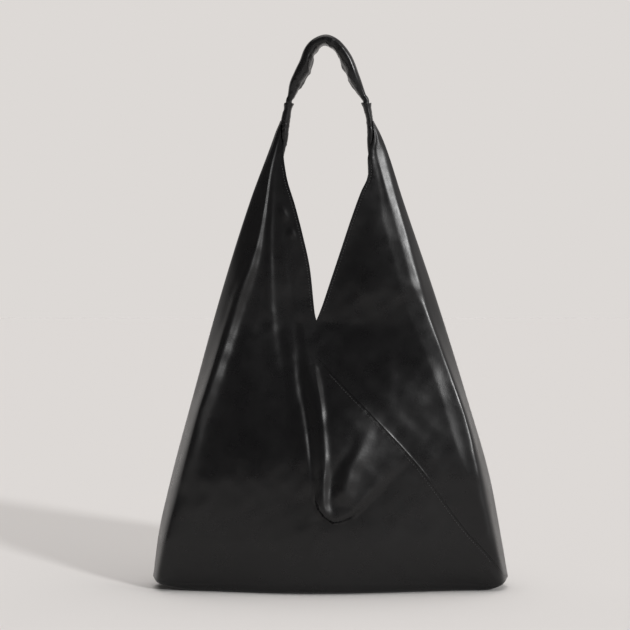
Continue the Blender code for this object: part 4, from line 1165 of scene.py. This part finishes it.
class Tree:
    """The nodes of a material or of the world. What a method returns is an output to join further."""

    def __init__(self, owner, place):
        owner.use_nodes = True
        self.nodes, self.links = owner.node_tree.nodes, owner.node_tree.links
        self.place = self.nodes.new("ShaderNodeTexCoord").outputs[place]

    def fill(self, node, inputs):
        """Join inputs to the outputs that are given for them, or set them to the values."""
        for name, value in inputs.items():
            if isinstance(value, bpy.types.NodeSocket):
                self.links.new(value, node.inputs[name])
            else:
                node.inputs[name].default_value = value

    def add(self, kind, inputs, output=0, **settings):
        node = self.nodes.new(kind)
        for name, value in settings.items():
            setattr(node, name, value)
        self.fill(node, inputs)
        return node.outputs[output]

    def noise(self, scale, detail=3.0, roughness=0.55):
        inputs = {"Vector": self.place, "Scale": scale, "Detail": detail, "Roughness": roughness}
        return self.add("ShaderNodeTexNoise", inputs, "Fac")

    def span(self, source, low, high, first=0.0, last=1.0, **settings):
        """Stretch a value from one range to another."""
        inputs = {"Value": source, "From Min": low, "From Max": high, "To Min": first, "To Max": last}
        return self.add("ShaderNodeMapRange", inputs, "Result", **settings)

    def colours(self, factor, first, second):
        inputs = {"Factor": factor, "A": (*first, 1), "B": (*second, 1)}
        return self.add("ShaderNodeMix", inputs, "Result", data_type="RGBA")

    def bump(self, height, distance, strength, before=None):
        inputs = {"Height": height, "Distance": distance, "Strength": strength}
        if before is not None:
            inputs["Normal"] = before
        return self.add("ShaderNodeBump", inputs, "Normal")

    def maths(self, operation, first, second):
        return self.add("ShaderNodeMath", {0: first, 1: second}, operation=operation)


def leather_look(tree):
    """Smooth coated leather: a fine pebble grain, soft creases and uneven gloss."""
    cells = tree.add("ShaderNodeTexVoronoi", {"Vector": tree.place, "Scale": 1250.0}, "Distance")
    pebble = tree.bump(cells, 0.06 * MM, 0.30)
    creases = tree.bump(tree.noise(420.0, 4.0, 0.6), 0.12 * MM, 0.35, pebble)
    return {"Base Color": tree.colours(tree.noise(14.0, 4.0), LEATHER_DARK, LEATHER_LIGHT),
            "Roughness": tree.span(tree.noise(46.0, 5.0, 0.6), 0.3, 0.7, 0.25, 0.34),
            "Normal": tree.bump(tree.noise(90.0, 3.0, 0.5), 0.5 * MM, 0.16, creases),
            "Specular IOR Level": 0.34}


def lining_look(tree):
    """A plain woven cloth with uneven threads."""
    cloud = tree.noise(30.0, 4.0)
    weave = {"Vector": tree.place, "Scale": 520.0, "Distortion": 1.2, "Detail": 2.0}
    threads = [tree.add("ShaderNodeTexWave", weave, "Fac", bands_direction=way) for way in ("X", "Z")]
    return {"Base Color": tree.colours(cloud, LINING_DARK, LINING_LIGHT),
            "Roughness": tree.span(cloud, 0.3, 0.7, 0.78, 0.9),
            "Normal": tree.bump(tree.maths("MAXIMUM", *threads), 0.2 * MM, 0.6),
            "Sheen Weight": 0.25}


def thread_look(tree):
    """Waxed thread: twisted strands with a soft shine."""
    cloud = tree.noise(700.0, 2.0)
    return {"Base Color": tree.colours(cloud, THREAD_DARK, THREAD_LIGHT),
            "Roughness": tree.span(cloud, 0.3, 0.7, 0.36, 0.5),
            "Normal": tree.bump(cloud, 0.1 * MM, 0.5)}


def steel_look(tree):
    """Dark plated steel with fine scratches and rubbed edges."""
    scratch = tree.noise(900.0, 6.0, 0.7)
    return {"Base Color": tree.colours(scratch, STEEL_DARK, STEEL_LIGHT),
            "Roughness": tree.span(scratch, 0.3, 0.7, 0.24, 0.42),
            "Normal": tree.bump(scratch, 0.03 * MM, 0.3),
            "Metallic": 1.0}


def floor_look(tree):
    return {"Base Color": (*FLOOR_COLOUR, 1), "Roughness": 1.0, "Specular IOR Level": 0.0}


def add_material(name, look):
    material = bpy.data.materials.new(name)
    tree = Tree(material, "Object")
    tree.fill(tree.nodes["Principled BSDF"], look(tree))
    return material


def add_camera():
    camera = bpy.data.cameras.new("camera")
    camera.sensor_width = SENSOR
    camera.lens = SENSOR * FOCAL_PIXELS / PICTURE_SIDE
    thing = bpy.data.objects.new("camera", camera)
    thing.location = (CAMERA_X, -CAMERA_DISTANCE, CAMERA_HEIGHT)
    thing.rotation_euler = (QUARTER, 0, 0)
    bpy.context.scene.collection.objects.link(thing)
    bpy.context.scene.camera = thing


def backdrop_rays(tree):
    """Rays that see the backdrop: the camera's, and glossy and clear ones that leave towards it."""
    path = tree.nodes.new("ShaderNodeLightPath").outputs
    back = tree.add("ShaderNodeSeparateXYZ", {0: tree.place}, "Y")
    bounced = tree.maths("MAXIMUM", path["Is Glossy Ray"], path["Is Transmission Ray"])
    leaving = tree.maths("MULTIPLY", bounced, tree.span(back, *BACKDROP_EDGE))
    return tree.maths("MAXIMUM", leaving, path["Is Camera Ray"])


def add_studio():
    """A pale backdrop, soft light from the right and from above, and one soft sun."""
    scene = bpy.context.scene
    scene.view_settings.view_transform = "Standard"
    scene.world = bpy.data.worlds.new("studio")
    tree = Tree(scene.world, "Generated")
    strength = SURROUND
    for heading, begin, full, peak in LOBES:
        inputs = {0: tree.place, 1: heading}
        facing = tree.add("ShaderNodeVectorMath", inputs, "Value", operation="DOT_PRODUCT")
        lobe = tree.span(facing, begin, full, 0, peak, interpolation_type="SMOOTHSTEP")
        strength = tree.maths("MAXIMUM", lobe, strength)
    surround = tree.nodes["Background"]
    tree.fill(surround, {"Color": (*SURROUND_COLOUR, 1), "Strength": strength})
    seen = tree.add("ShaderNodeBackground", {"Color": (*BACKDROP, 1), "Strength": 1.0})
    inputs = {"Fac": backdrop_rays(tree), 1: surround.outputs[0], 2: seen}
    tree.fill(tree.nodes["World Output"], {"Surface": tree.add("ShaderNodeMixShader", inputs)})

    sun = bpy.data.lights.new("sun", "SUN")
    sun.energy = SUN_STRENGTH
    sun.angle = SUN_ANGLE
    lamp = bpy.data.objects.new("sun", sun)
    lamp.rotation_mode = "QUATERNION"
    lamp.rotation_quaternion = Vector(SUN_HEADING).to_track_quat("-Z", "Y")
    scene.collection.objects.link(lamp)


def add_floor():
    corners = [(x * FLOOR_HALF, y * FLOOR_HALF, 0) for x, y in ((-1, -1), (1, -1), (1, 1), (-1, 1))]
    floor = add_piece("floor", corners, [(0, 1, 2, 3)], add_material("floor", floor_look), merge=0)


add_camera()
add_studio()
add_floor()
leather = add_material("black_leather", leather_look)
lining = add_material("black_lining", lining_look)
thread = add_material("black_thread", thread_look)
steel = add_material("dark_steel", steel_look)
leather_panel(LEFT, FRONT, leather)
leather_panel(RIGHT, BACK, leather)
for face in (FRONT, BACK):
    facing_strip(face, leather)
    lining_half(face, lining)
    snap_half(face, steel)
slip_pocket(lining)
for side in (LEFT, RIGHT):
    sleeve(side, leather)
    inner_strap(side, leather)
handle_padding(lining)
handle_cover(leather)
for face, name in FACE_NAMES.items():
    for side, side_name in SIDE_NAMES.items():
        stitch_row(f"mouth_stitches_{name}_{side_name}", side, face, mouth_stitch_line(side), thread)
    stitch_row(f"seam_stitches_{name}", -face, face, seam_stitch_line(-face), thread)
